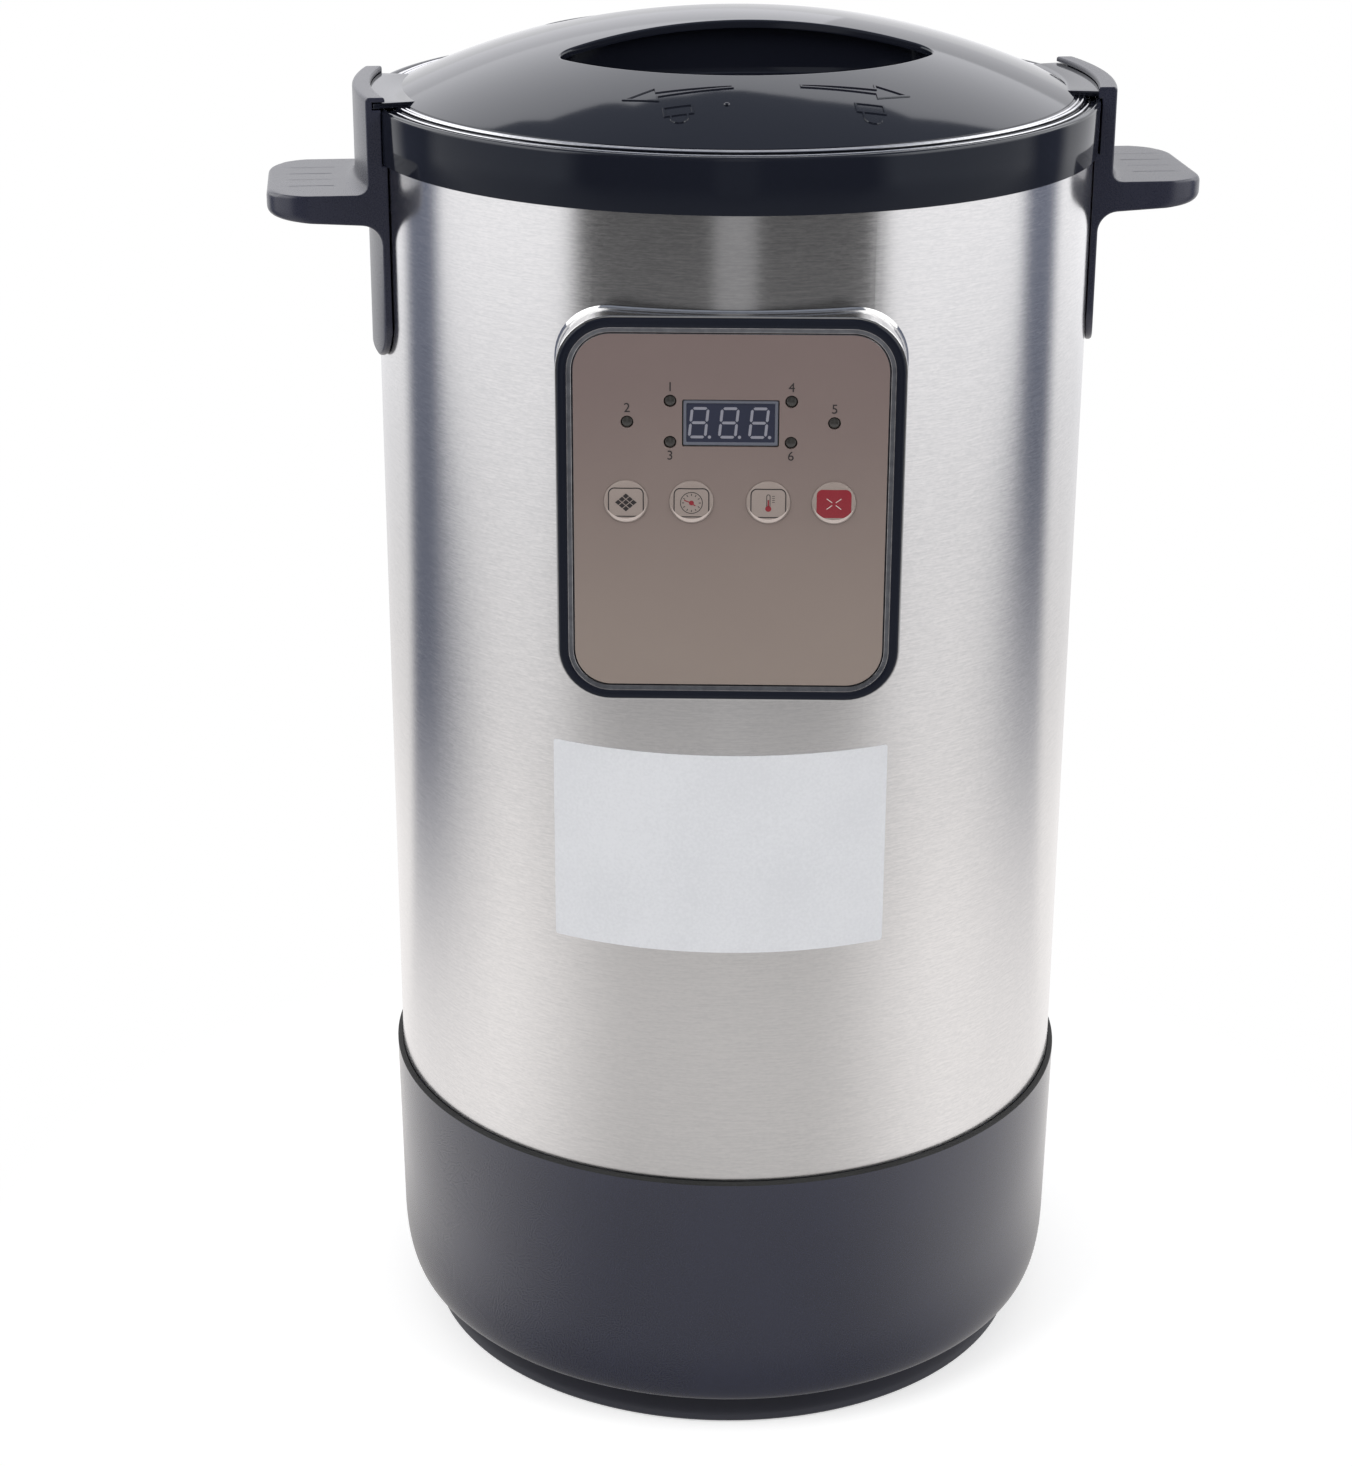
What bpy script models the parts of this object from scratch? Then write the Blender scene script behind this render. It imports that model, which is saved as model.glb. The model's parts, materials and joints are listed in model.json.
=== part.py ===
"""Tall yogurt maker: steel barrel on a moulded base, bayonet lid, two handles and a control panel.

Metres, +Z up. The barrel stands on the Z axis, the control panel faces -Y and the feet stand on z = 0.
"""
import bmesh
import bpy
from math import asin, cos, pi, radians, sin, sqrt
from mathutils import Matrix

# Clearance that seated pieces keep, how far a cutter runs past a face, and facets of the round pieces
GAP = 0.0003
CUT_PAST = 0.0020
SEGMENTS = 40
HEATER_SEGMENTS = 20
SMALL_SEGMENTS = 12
HOLE_SEGMENTS = 8

# Barrel
BARREL_RADIUS = 0.1278
BARREL_WALL = 0.0008
BARREL_SHOWN = 0.3503
BARREL_TUCK = 0.0090

# Base shell
BASE_HEIGHT = 0.1100
BASE_RIM_WALL = 0.0018
BASE_RIM_CHAMFER = 0.0006
BASE_TAPER = 0.0009
BASE_WALL = 0.0028
BASE_LEDGE = 0.0022
BASE_CORNER_HEIGHT = 0.0279
BASE_CORNER_DEPTH = 0.0076
BASE_CORNER_POWER = 2.4
BASE_FLANGE = 0.0028
BASE_FLANGE_REACH = 0.0050

# Base plate, which shows as the foot ring, with its feet and screws
STEP_HEIGHT = 0.0141
STEP_DEPTH = 0.0056
RING_WIDTH = 0.0165
RING_CHAMFER = 0.0010
PLATE_FLOOR = 0.0026
PLATE_SPIGOT = 0.0020
FOOT_RADIUS = 0.0065
FOOT_PROUD = 0.0012
FOOT_POCKET = 0.0015
FOOT_COUNT = 4
VENT_COUNT = 5
VENT_SIZE = (0.0030, 0.0360)
VENT_PITCH = 0.0080
SCREW_HEAD = (0.0032, 0.0022)
SCREW_CROWN = (0.0022, 0.0008)
SCREW_SHANK = 0.0014
SCREW_HOLE = 0.0018
SCREW_WELL = 0.0047

# Collar on the barrel's top edge
COLLAR_HEIGHT = 0.0187
COLLAR_WALL = 0.0014
COLLAR_SHOULDER = 0.0022
COLLAR_ROOF = 0.0053
COLLAR_SKIRT = (0.0100, 0.0020)
SHELF_THICK = 0.0025

# Inner tank, gasket and insulation
INSULATION_THICK = 0.0135
TANK_WALL = 0.0008
TANK_SINK = 0.0180
TANK_CORNER = 0.0150
TANK_FLANGE = 0.0040
GASKET_THICK = 0.0014
INSULATION_DROP = 0.0120

# Heating plate, sensor and fuse below the tank
HEATER_RADIUS = 0.0700
HEATER_THICK = 0.0060
ELEMENT_RADIUS = 0.0490
ELEMENT_WIDTH = 0.0080
ELEMENT_DROP = 0.0050
SENSOR_RADIUS = 0.0070
SENSOR_FLANGE = (0.0110, 0.0015)
SENSOR_TAIL = (0.0042, 0.0080)
FUSE_SIZE = (0.0030, 0.0220)
FUSE_END = (0.0018, 0.0015)
FUSE_OFFSET = 0.0280

# Power board on the base plate
BOARD_SIZE = (0.1100, 0.0700, 0.0016)
BOARD_LIFT = 0.0150
STANDOFF_RADIUS = 0.0032
STANDOFF_INSET = 0.0060
TRANSFORMER_SIZE = (0.0340, 0.0280, 0.0240)
RELAY_SIZE = (0.0190, 0.0155, 0.0150)
CAPACITOR_SIZE = (0.0060, 0.0180)
CAPACITOR_CHAMFER = 0.0010

# Power inlet at the back of the base
INLET_DROP = 0.0500
INLET_FLANGE = (0.0340, 0.0260, 0.0025)
INLET_BODY = (0.0268, 0.0196, 0.0200)
INLET_WELL = (0.0238, 0.0165, 0.0170)
INLET_PAD_MARGIN = 0.0030
PIN_SIZE = (0.0040, 0.0020, 0.0180)
PIN_SHOWN = 0.0110
PIN_PLACES = ((-0.0070, -0.0020), (0.0, 0.0020), (0.0070, -0.0020))

# Handles and the lid, turned from the panel's own axis
HANDLE_TURN = radians(7.05)
HANDLE_HALF_WIDTH = 0.0340
HANDLE_SPARE = radians(2.0)
GRIP_LENGTH = 0.0309
POST_THICK = 0.0050
POST_LIP = 0.0017
LIP_REACH = 0.0014
STRAP_THICK = 0.0024
STRAP_LENGTH = 0.0487
STRAP_CORNER = 0.0140
GRIP_DROP = 0.0103
GRIP_THICK = 0.0107
GRIP_TAPER = 0.0020
GRIP_CORNER = 0.0160
GRIP_EDGE = 0.0012
ROOT_FILLET = 0.0080
STRAP_FILLET = 0.0072
GROOVE_COUNT = 4
GROOVE_SIZE = (0.0200, 0.0030, 0.0003)
GROOVE_PITCH = 0.0110
HANDLE_SCREW_SPREAD = 0.0180
HANDLE_SCREW_LENGTH = 0.0110

# Bayonet lid
DOME_HEIGHT = 0.0275
LID_INSET = 0.0095
LID_RIM_HEIGHT = 0.0008
LID_SHELL = 0.0026
LUG_THICK = 0.0020
LUG_ROOT = 0.0040
CHANNEL_DEPTH = 0.0028
CHANNEL_END_WALL = 0.0020
LUG_PLAY = 0.0006
POCKET_HALF_LENGTH = 0.0667
POCKET_INNER_BOW = 0.0126
POCKET_OUTER_BOW = 0.0430
POCKET_TIP = 0.0090
POCKET_DEPTH = 0.0205
POCKET_WALL = 0.0022
POCKET_UNDERCUT = 0.0050
BAR_WIDTH = 0.0404

# Inner lid, its seal and what holds it
SEAL_THICK = 0.0027
SEAL_BORE_MARGIN = 0.0010
SEAL_GROOVE = 0.0020
INNER_LID_THICK = 0.0008
INNER_LID_DISH = 0.0060
INNER_LID_SHOULDER = 0.0070
INNER_LID_SLOPE = 0.0050
BOSS_RADIUS = 0.0060
SPIGOT_RADIUS = 0.0036
SPIGOT_PLAY = 0.0006
WASHER_SIZE = (0.0090, 0.0012)
LID_SCREW_LENGTH = 0.0120

# Control panel
PANEL_WIDTH = 0.1111
PANEL_HEIGHT = 0.1286
PANEL_DROP = 0.0333
PANEL_PROUD = 0.0051
PANEL_CORNER = 0.0165
PANEL_FRAME = 0.0037
PANEL_LEDGE = 0.0040
PANEL_FLANGE = (0.0026, 0.0015)
FACEPLATE_THICK = 0.0012
FACEPLATE_SINK = 0.0006
DISPLAY_SIZE = (0.0310, 0.0152, 0.0080)
DISPLAY_SINK = 0.0004
DISPLAY_RISE = 0.0305
LAMP_RADIUS = 0.0015
LAMP_LENGTH = 0.0050
LAMP_CROWN = (0.0010, 0.0004)
LAMP_PLACES = ((0.0197, 0.0379), (0.0337, 0.0308), (0.0197, 0.0241))
BUTTON_RADIUS = 0.0063
BUTTON_DOME = 0.0011
BUTTON_FLANGE = (0.0010, 0.0008)
BUTTON_STEM = 0.0015
BUTTON_TRAVEL = 0.0008
BUTTON_COLUMNS = (-0.0341, -0.0126, 0.0126, 0.0341)
BUTTON_RISE = 0.0038
SWITCH_SIZE = (0.0062, 0.0035)
SWITCH_WELL = 0.0022
CONTROL_BOARD_DEPTH = 0.0105
CONTROL_BOARD_THICK = 0.0016
CONTROL_POST_RADIUS = 0.0035
CABLE_SIZE = (0.0160, 0.0010)
CABLE_SLOT_MARGIN = 0.0040
CABLE_HOLD = 0.0200
CABLE_BEND = 0.0140

# Places and radii worked out from the sizes above
BARREL_INNER = BARREL_RADIUS - BARREL_WALL
BASE_SEAT_Z = BASE_HEIGHT - BARREL_TUCK
BASE_RIM_RADIUS = BARREL_RADIUS + GAP + BASE_RIM_WALL
BASE_SIDE_RADIUS = BASE_RIM_RADIUS - BASE_TAPER
BASE_BOTTOM_RADIUS = BASE_SIDE_RADIUS - BASE_CORNER_DEPTH
PLATE_RADIUS = BASE_BOTTOM_RADIUS - STEP_DEPTH
RING_INNER = PLATE_RADIUS - RING_WIDTH
RING_MIDDLE = PLATE_RADIUS - RING_WIDTH / 2
FLANGE_BORE = RING_INNER - BASE_FLANGE_REACH
PLATE_TOP_Z = STEP_HEIGHT + PLATE_SPIGOT
COLLAR_BOTTOM_Z = BASE_HEIGHT + BARREL_SHOWN
COLLAR_TOP_Z = COLLAR_BOTTOM_Z + COLLAR_HEIGHT
COLLAR_RADIUS = BARREL_RADIUS + GAP + COLLAR_WALL
ROOF_Z = COLLAR_TOP_Z - COLLAR_ROOF
TANK_OUTER = BARREL_INNER - GAP - INSULATION_THICK - GAP
TANK_RADIUS = TANK_OUTER - TANK_WALL
TANK_FLOOR_Z = BASE_HEIGHT - TANK_SINK
FLANGE_RADIUS = TANK_OUTER + TANK_FLANGE
SEAL_TOP_Z = COLLAR_TOP_Z
SEAL_BOTTOM_Z = SEAL_TOP_Z - SEAL_THICK
TANK_TOP_Z = SEAL_BOTTOM_Z - GAP
TANK_FLANGE_Z = TANK_TOP_Z - TANK_WALL
SHELF_Z = TANK_FLANGE_Z - GAP - GASKET_THICK - GAP
HEATER_TOP_Z = TANK_FLOOR_Z - TANK_WALL - GAP
BOARD_Z = PLATE_TOP_Z + BOARD_LIFT + GAP
GRIP_TOP_Z = COLLAR_BOTTOM_Z - GRIP_DROP
GRIP_BOTTOM_Z = GRIP_TOP_Z - GRIP_THICK
GRIP_MIDDLE_Z = (GRIP_TOP_Z + GRIP_BOTTOM_Z) / 2
POST_INNER = COLLAR_RADIUS + GAP
POST_OUTER = POST_INNER + POST_THICK
HANDLE_REACH = POST_OUTER + GRIP_LENGTH
STRAP_INNER = BARREL_RADIUS + GAP
STRAP_OUTER = STRAP_INNER + STRAP_THICK
STRAP_BOTTOM_Z = GRIP_BOTTOM_Z - STRAP_LENGTH
GRIP_ROOT_X = sqrt(POST_OUTER ** 2 - HANDLE_HALF_WIDTH ** 2)
LUG_BOTTOM_Z = COLLAR_TOP_Z + GAP
LUG_TOP_Z = LUG_BOTTOM_Z + LUG_THICK
CHANNEL_TOP_Z = LUG_TOP_Z + GAP
POST_TOP_Z = CHANNEL_TOP_Z + POST_LIP
CHANNEL_OUTER = POST_INNER + CHANNEL_DEPTH
LIP_INNER = POST_INNER - LIP_REACH
LUG_OUTER = CHANNEL_OUTER - GAP
CHANNEL_END_ANGLE = asin(HANDLE_HALF_WIDTH / CHANNEL_OUTER) - CHANNEL_END_WALL / CHANNEL_OUTER
LUG_SHUT_ANGLE = CHANNEL_END_ANGLE - LUG_PLAY / LUG_OUTER
LUG_OPEN_ANGLE = asin(HANDLE_HALF_WIDTH / LUG_OUTER)
LID_RADIUS = COLLAR_RADIUS - LID_INSET
LID_RIM_Z = LUG_BOTTOM_Z + LID_RIM_HEIGHT
APEX_Z = COLLAR_TOP_Z + DOME_HEIGHT
DOME_RADIUS = (LID_RADIUS ** 2 + (APEX_Z - LID_RIM_Z) ** 2) / (2 * (APEX_Z - LID_RIM_Z))
HOLLOW_RADIUS = sqrt((DOME_RADIUS - LID_SHELL) ** 2 - (LUG_BOTTOM_Z - APEX_Z + DOME_RADIUS) ** 2)
POCKET_FLOOR_Z = APEX_Z - POCKET_DEPTH
SEAL_BORE = TANK_RADIUS + SEAL_BORE_MARGIN
INNER_LID_Z = SEAL_BOTTOM_Z + (SEAL_THICK - INNER_LID_THICK) / 2
DISH_Z = INNER_LID_Z - INNER_LID_DISH
PANEL_CENTRE_Z = COLLAR_BOTTOM_Z - PANEL_DROP - PANEL_HEIGHT / 2
PANEL_FRONT = BARREL_RADIUS + PANEL_PROUD
FACEPLATE_FRONT = PANEL_FRONT - FACEPLATE_SINK
FACEPLATE_BACK = FACEPLATE_FRONT - FACEPLATE_THICK
PANEL_LEDGE_FRONT = FACEPLATE_BACK - GAP
WINDOW_WIDTH = PANEL_WIDTH - 2 * (PANEL_FRAME + PANEL_LEDGE)
WINDOW_HEIGHT = PANEL_HEIGHT - 2 * (PANEL_FRAME + PANEL_LEDGE)
CONTROL_BOARD_FRONT = FACEPLATE_BACK - CONTROL_BOARD_DEPTH
CONTROL_BOARD_BACK = CONTROL_BOARD_FRONT - CONTROL_BOARD_THICK


def material(name, colour, roughness, metallic=0.0):
    """A Principled finish of one colour."""
    made = bpy.data.materials.new(name)
    made.use_nodes = True
    shader = made.node_tree.nodes["Principled BSDF"]
    shader.inputs["Base Color"].default_value = (*colour, 1.0)
    shader.inputs["Roughness"].default_value = roughness
    shader.inputs["Metallic"].default_value = metallic
    return made


def finish(name, mesh_data, look=None, parent=None, location=(0, 0, 0)):
    """Turn a bmesh into a named object; without a look it is a cutter or a guide."""
    bmesh.ops.recalc_face_normals(mesh_data, faces=mesh_data.faces)
    mesh = bpy.data.meshes.new(name)
    mesh_data.to_mesh(mesh)
    mesh_data.free()
    made = bpy.data.objects.new(name, mesh)
    bpy.context.collection.objects.link(made)
    made.parent = parent
    made.location = location
    if look:
        mesh.materials.append(look)
        mesh.shade_smooth()
        mesh.set_sharp_from_angle(angle=radians(32))
    else:
        made.hide_render = True
        made.display_type = 'WIRE'
    return made


def frame(name, location=(0, 0, 0), rotation=(0, 0, 0)):
    """An empty that carries the pieces of one assembly."""
    made = bpy.data.objects.new(name, None)
    made.location = location
    made.rotation_euler = rotation
    bpy.context.collection.objects.link(made)
    return made


def combine(target, operand, operation):
    """Boolean of two objects with the exact solver."""
    step = target.modifiers.new(operand.name, 'BOOLEAN')
    step.object = operand
    step.operation = operation
    step.solver = 'EXACT'


def cut(target, *cutters):
    for cutter in cutters:
        combine(target, cutter, 'DIFFERENCE')


def join(target, *additions):
    for addition in additions:
        combine(target, addition, 'UNION')


def sweep_profile(profile, angle, start, segments, closed):
    """Spin an (r, z) profile about Z."""
    made = bmesh.new()
    verts = [made.verts.new((r * cos(start), r * sin(start), z)) for r, z in profile]
    pairs = list(zip(verts, verts[1:]))
    if closed:
        pairs.append((verts[-1], verts[0]))
    edges = [made.edges.new(pair) for pair in pairs]
    whole = angle > 2 * pi - 1e-6
    caps = []
    if not whole:
        caps.append(made.faces.new(verts))
    result = bmesh.ops.spin(made, geom=verts + edges, axis=(0, 0, 1), cent=(0, 0, 0),
                            dvec=(0, 0, 0), angle=angle, steps=segments, use_merge=whole)
    if not whole:
        ends = [item for item in result["geom_last"] if isinstance(item, bmesh.types.BMEdge)]
        bmesh.ops.contextual_create(made, geom=ends)
    bmesh.ops.remove_doubles(made, verts=made.verts, dist=1e-6)
    return made


def turned(name, profile, look=None, parent=None, location=(0, 0, 0), segments=SEGMENTS):
    """A turned piece; a profile that starts and ends on the axis is left open there."""
    closed = profile[0][0] > 1e-9
    return finish(name, sweep_profile(profile, 2 * pi, 0.0, segments, closed), look, parent, location)


def sector(name, profile, start, end, segments, look=None, parent=None):
    """An (r, z) section swept from one angle to another about Z."""
    return finish(name, sweep_profile(profile, end - start, start, segments, True), look, parent)


def prism(name, outline, low, high, look=None, parent=None, location=(0, 0, 0), round_edges=None):
    """An outline in the local XY plane, extruded from low to high along local Z."""
    made = bmesh.new()
    base = made.faces.new([made.verts.new((x, y, low)) for x, y in outline])
    grown = bmesh.ops.extrude_face_region(made, geom=[base])
    top = [item for item in grown["geom"] if isinstance(item, bmesh.types.BMVert)]
    bmesh.ops.translate(made, verts=top, vec=(0, 0, high - low))
    if round_edges:
        chosen = [edge for edge in made.edges if round_edges[0](edge)]
        bmesh.ops.bevel(made, geom=chosen, offset=round_edges[1], segments=3, profile=0.5, affect='EDGES')
    return finish(name, made, look, parent, location)


def arc(centre, radius, start, end, steps):
    """Points of an arc from one angle to another."""
    angles = [start + (end - start) * step / steps for step in range(steps + 1)]
    return [(centre[0] + radius * cos(angle), centre[1] + radius * sin(angle)) for angle in angles]


def rounded_rectangle(width, height, radius, steps=5):
    """Outline of a rectangle with round corners, centred on the origin."""
    points = []
    for turn, (side, end) in enumerate(((1, 1), (-1, 1), (-1, -1), (1, -1))):
        centre = (side * (width / 2 - radius), end * (height / 2 - radius))
        points += arc(centre, radius, turn * pi / 2, (turn + 1) * pi / 2, steps)
    return points


def rectangle(width, height, centre=(0.0, 0.0)):
    x, y = centre
    return [(x + width / 2, y + height / 2), (x - width / 2, y + height / 2),
            (x - width / 2, y - height / 2), (x + width / 2, y - height / 2)]


def circle(radius, segments=SMALL_SEGMENTS, centre=(0.0, 0.0)):
    return arc(centre, radius, 0.0, 2 * pi * (segments - 1) / segments, segments - 1)


def lens(half_length, inner_bow, outer_bow, tip_y, side, steps=8):
    """Pointed outline between two arcs, long along X, with its flatter arc towards the lid's middle."""
    points = []
    for bow, way in ((outer_bow, side), (inner_bow, -side)):
        radius = (half_length ** 2 + bow ** 2) / (2 * bow)
        spread = asin(half_length / radius)
        centre = (0.0, side * tip_y + way * (bow - radius))
        points += arc(centre, radius, way * pi / 2 - spread, way * pi / 2 + spread, steps)[:-1]
    return points


def screw_profile(length):
    """Pan head screw standing on its head, shank up."""
    head_radius, head_height = SCREW_HEAD
    crown_radius, crown_height = SCREW_CROWN
    return [(0, length + head_height), (SCREW_SHANK, length + head_height), (SCREW_SHANK, head_height),
            (head_radius, head_height), (head_radius, crown_height), (crown_radius, 0), (0, 0)]


def base_shell(look):
    """Moulded cup: barrel rebate at the rim, rounded lower corner and an inward flange below."""
    corner_top_z = STEP_HEIGHT + BASE_CORNER_HEIGHT
    corner = []
    for step in range(1, 5):
        angle = pi / 2 * step / 5
        corner.append((BASE_BOTTOM_RADIUS + BASE_CORNER_DEPTH * cos(angle) ** (2 / BASE_CORNER_POWER),
                       corner_top_z - BASE_CORNER_HEIGHT * sin(angle) ** (2 / BASE_CORNER_POWER)))
    ledge_radius = BARREL_INNER - BASE_LEDGE
    flange_top_z = STEP_HEIGHT + BASE_FLANGE
    outside = [(BASE_RIM_RADIUS - BASE_RIM_CHAMFER, BASE_HEIGHT),
               (BASE_RIM_RADIUS, BASE_HEIGHT - BASE_RIM_CHAMFER), (BASE_SIDE_RADIUS, corner_top_z)]
    outside += corner + [(BASE_BOTTOM_RADIUS, STEP_HEIGHT)]
    inside = [(FLANGE_BORE, STEP_HEIGHT), (FLANGE_BORE, flange_top_z),
              (BASE_BOTTOM_RADIUS - BASE_WALL, flange_top_z),
              (BASE_SIDE_RADIUS - BASE_WALL - BASE_LEDGE / 2, corner_top_z),
              (ledge_radius, BASE_SEAT_Z - BASE_LEDGE), (ledge_radius, BASE_SEAT_Z),
              (BARREL_RADIUS + GAP, BASE_SEAT_Z), (BARREL_RADIUS + GAP, BASE_HEIGHT)]
    shell = turned("base_shell", outside + inside, look)
    for index, (x, y) in enumerate(ring_places(RING_MIDDLE, pi / FOOT_COUNT)):
        hole = prism(f"flange_hole_{index}", circle(SCREW_HOLE, HOLE_SEGMENTS, (x, y)),
                     STEP_HEIGHT - CUT_PAST, flange_top_z + CUT_PAST)
        cut(shell, hole)
    return shell


def ring_places(radius, start):
    """Centres of the feet or screws around the foot ring."""
    angles = [start + 2 * pi * index / FOOT_COUNT for index in range(FOOT_COUNT)]
    return [(radius * cos(angle), radius * sin(angle)) for angle in angles]


def base_plate(look):
    """Bottom cover: foot ring with pockets and screw wells, vented floor and standoffs for the board."""
    floor_z = PLATE_TOP_Z - PLATE_FLOOR
    top_z = STEP_HEIGHT - GAP
    spigot = FLANGE_BORE - GAP
    profile = [(0, PLATE_TOP_Z), (spigot, PLATE_TOP_Z), (spigot, top_z), (PLATE_RADIUS, top_z),
               (PLATE_RADIUS, FOOT_PROUD + RING_CHAMFER), (PLATE_RADIUS - RING_CHAMFER, FOOT_PROUD),
               (RING_INNER, FOOT_PROUD), (RING_INNER, floor_z), (0, floor_z)]
    plate = turned("base_plate", profile, look)
    for index, (x, y) in enumerate(board_corners()):
        post = prism(f"standoff_{index}", circle(STANDOFF_RADIUS, HOLE_SEGMENTS, (x, y)),
                     floor_z + PLATE_FLOOR / 2, BOARD_Z - GAP)
        join(plate, post)
    for index, (x, y) in enumerate(ring_places(RING_MIDDLE, 0.0)):
        pocket = prism(f"foot_pocket_{index}", circle(FOOT_RADIUS + GAP, SMALL_SEGMENTS, (x, y)), 0.0,
                       FOOT_PROUD + FOOT_POCKET)
        cut(plate, pocket)
    for index, (x, y) in enumerate(ring_places(RING_MIDDLE, pi / FOOT_COUNT)):
        well = prism(f"screw_well_{index}", circle(SCREW_HEAD[0] + 2 * GAP, HOLE_SEGMENTS, (x, y)), 0.0,
                     FOOT_PROUD + SCREW_WELL)
        hole = prism(f"plate_hole_{index}", circle(SCREW_HOLE, HOLE_SEGMENTS, (x, y)), 0.0,
                     PLATE_TOP_Z + CUT_PAST)
        cut(plate, well, hole)
    for index in range(VENT_COUNT):
        x = (index - (VENT_COUNT - 1) / 2) * VENT_PITCH
        slot = prism(f"vent_{index}", rectangle(*VENT_SIZE, (x, 0)), floor_z - CUT_PAST,
                     PLATE_TOP_Z + CUT_PAST)
        cut(plate, slot)


def board_corners():
    """Standoff places under the power board."""
    x = BOARD_SIZE[0] / 2 - STANDOFF_INSET
    y = BOARD_SIZE[1] / 2 - STANDOFF_INSET
    return [(x, y), (-x, y), (-x, -y), (x, -y)]


def feet_and_screws(rubber, steel):
    for index, (x, y) in enumerate(ring_places(RING_MIDDLE, 0.0)):
        top_z = FOOT_PROUD + FOOT_POCKET - GAP
        profile = [(0, top_z), (FOOT_RADIUS, top_z), (FOOT_RADIUS, FOOT_PROUD / 2),
                   (FOOT_RADIUS - FOOT_PROUD / 2, 0), (0, 0)]
        turned(f"rubber_foot_{index + 1}", profile, rubber, location=(x, y, 0), segments=SMALL_SEGMENTS)
    seat_z = FOOT_PROUD + SCREW_WELL - GAP - SCREW_HEAD[1]
    length = STEP_HEIGHT + BASE_FLANGE - GAP - seat_z - SCREW_HEAD[1]
    for index, (x, y) in enumerate(ring_places(RING_MIDDLE, pi / FOOT_COUNT)):
        turned(f"base_screw_{index + 1}", screw_profile(length), steel, location=(x, y, seat_z),
               segments=HOLE_SEGMENTS)


def barrel(look):
    """Rolled sheet with the panel opening and the handle screw holes."""
    low, high = BASE_SEAT_Z + GAP, ROOF_Z - GAP
    profile = [(BARREL_RADIUS, high), (BARREL_RADIUS, low), (BARREL_INNER, low), (BARREL_INNER, high)]
    sheet = turned("barrel", profile, look)
    opening = prism("barrel_opening", rounded_rectangle(WINDOW_WIDTH, WINDOW_HEIGHT, PANEL_CORNER / 2),
                    0.0, PANEL_FRONT, parent=panel_frame)
    cut(sheet, opening)
    for side, carrier in handle_frames.items():
        for index, y in enumerate((-HANDLE_SCREW_SPREAD, HANDLE_SCREW_SPREAD)):
            rod = [(0, POST_OUTER), (SCREW_HOLE, POST_OUTER), (SCREW_HOLE, 0), (0, 0)]
            hole = turned(f"barrel_hole_{side}_{index}", rod, None, carrier, (0, y, GRIP_MIDDLE_Z),
                          HOLE_SEGMENTS)
            hole.rotation_euler = (0, pi / 2, 0)
            cut(sheet, hole)


def collar(look):
    """Ring over the barrel's edge, with an inner skirt and the shelf that carries the tank."""
    skirt_depth, skirt_wall = COLLAR_SKIRT
    groove_inner = BARREL_INNER - GAP
    skirt_z = ROOF_Z - skirt_depth
    shelf_bore = TANK_OUTER + GAP
    recess = FLANGE_RADIUS + GAP
    shoulder = (COLLAR_RADIUS - COLLAR_SHOULDER, COLLAR_TOP_Z - COLLAR_SHOULDER)
    profile = arc(shoulder, COLLAR_SHOULDER, pi / 2, 0.0, 2)
    profile += [(COLLAR_RADIUS, COLLAR_BOTTOM_Z), (BARREL_RADIUS + GAP, COLLAR_BOTTOM_Z),
                (BARREL_RADIUS + GAP, ROOF_Z), (groove_inner, ROOF_Z), (groove_inner, skirt_z),
                (groove_inner - skirt_wall, skirt_z), (groove_inner - skirt_wall, SHELF_Z - SHELF_THICK),
                (shelf_bore, SHELF_Z - SHELF_THICK), (shelf_bore, SHELF_Z), (recess, SHELF_Z),
                (recess, COLLAR_TOP_Z)]
    turned("collar", profile, look)


def tank_and_lining(steel, rubber, felt):
    """Drawn pot hung by its flange, the gasket under the flange and the lining around the pot."""
    corner_z = TANK_FLOOR_Z + TANK_CORNER
    turn = TANK_RADIUS - TANK_CORNER
    outer_corner = arc((turn, corner_z), TANK_CORNER + TANK_WALL, 0.0, -pi / 2, 2)
    inner_corner = arc((turn, corner_z), TANK_CORNER, -pi / 2, 0.0, 2)
    flange = [(TANK_RADIUS, TANK_TOP_Z), (FLANGE_RADIUS, TANK_TOP_Z), (FLANGE_RADIUS, TANK_FLANGE_Z),
              (TANK_OUTER, TANK_FLANGE_Z)]
    profile = [(0, TANK_FLOOR_Z)] + inner_corner + flange + outer_corner + [(0, TANK_FLOOR_Z - TANK_WALL)]
    turned("inner_tank", profile, steel)
    low, high = SHELF_Z + GAP, SHELF_Z + GAP + GASKET_THICK
    ring = [(FLANGE_RADIUS, high), (FLANGE_RADIUS, low), (TANK_OUTER + GAP, low), (TANK_OUTER + GAP, high)]
    turned("tank_gasket", ring, rubber)
    inner, outer = TANK_OUTER + GAP, BARREL_INNER - GAP
    low, high = BASE_SEAT_Z + GAP, GRIP_MIDDLE_Z - INSULATION_DROP
    sleeve = turned("insulation_sleeve", [(outer, high), (outer, low), (inner, low), (inner, high)], felt)
    window = prism("lining_window", rounded_rectangle(WINDOW_WIDTH, WINDOW_HEIGHT, PANEL_CORNER / 2), 0.0,
                   PANEL_FRONT, parent=panel_frame)
    slot = prism("cable_slot", rectangle(CABLE_SIZE[0] + 2 * CABLE_SLOT_MARGIN, BARREL_RADIUS,
                                         (0, -BARREL_RADIUS)), low - CUT_PAST, PANEL_CENTRE_Z)
    cut(sleeve, window, slot)


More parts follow.
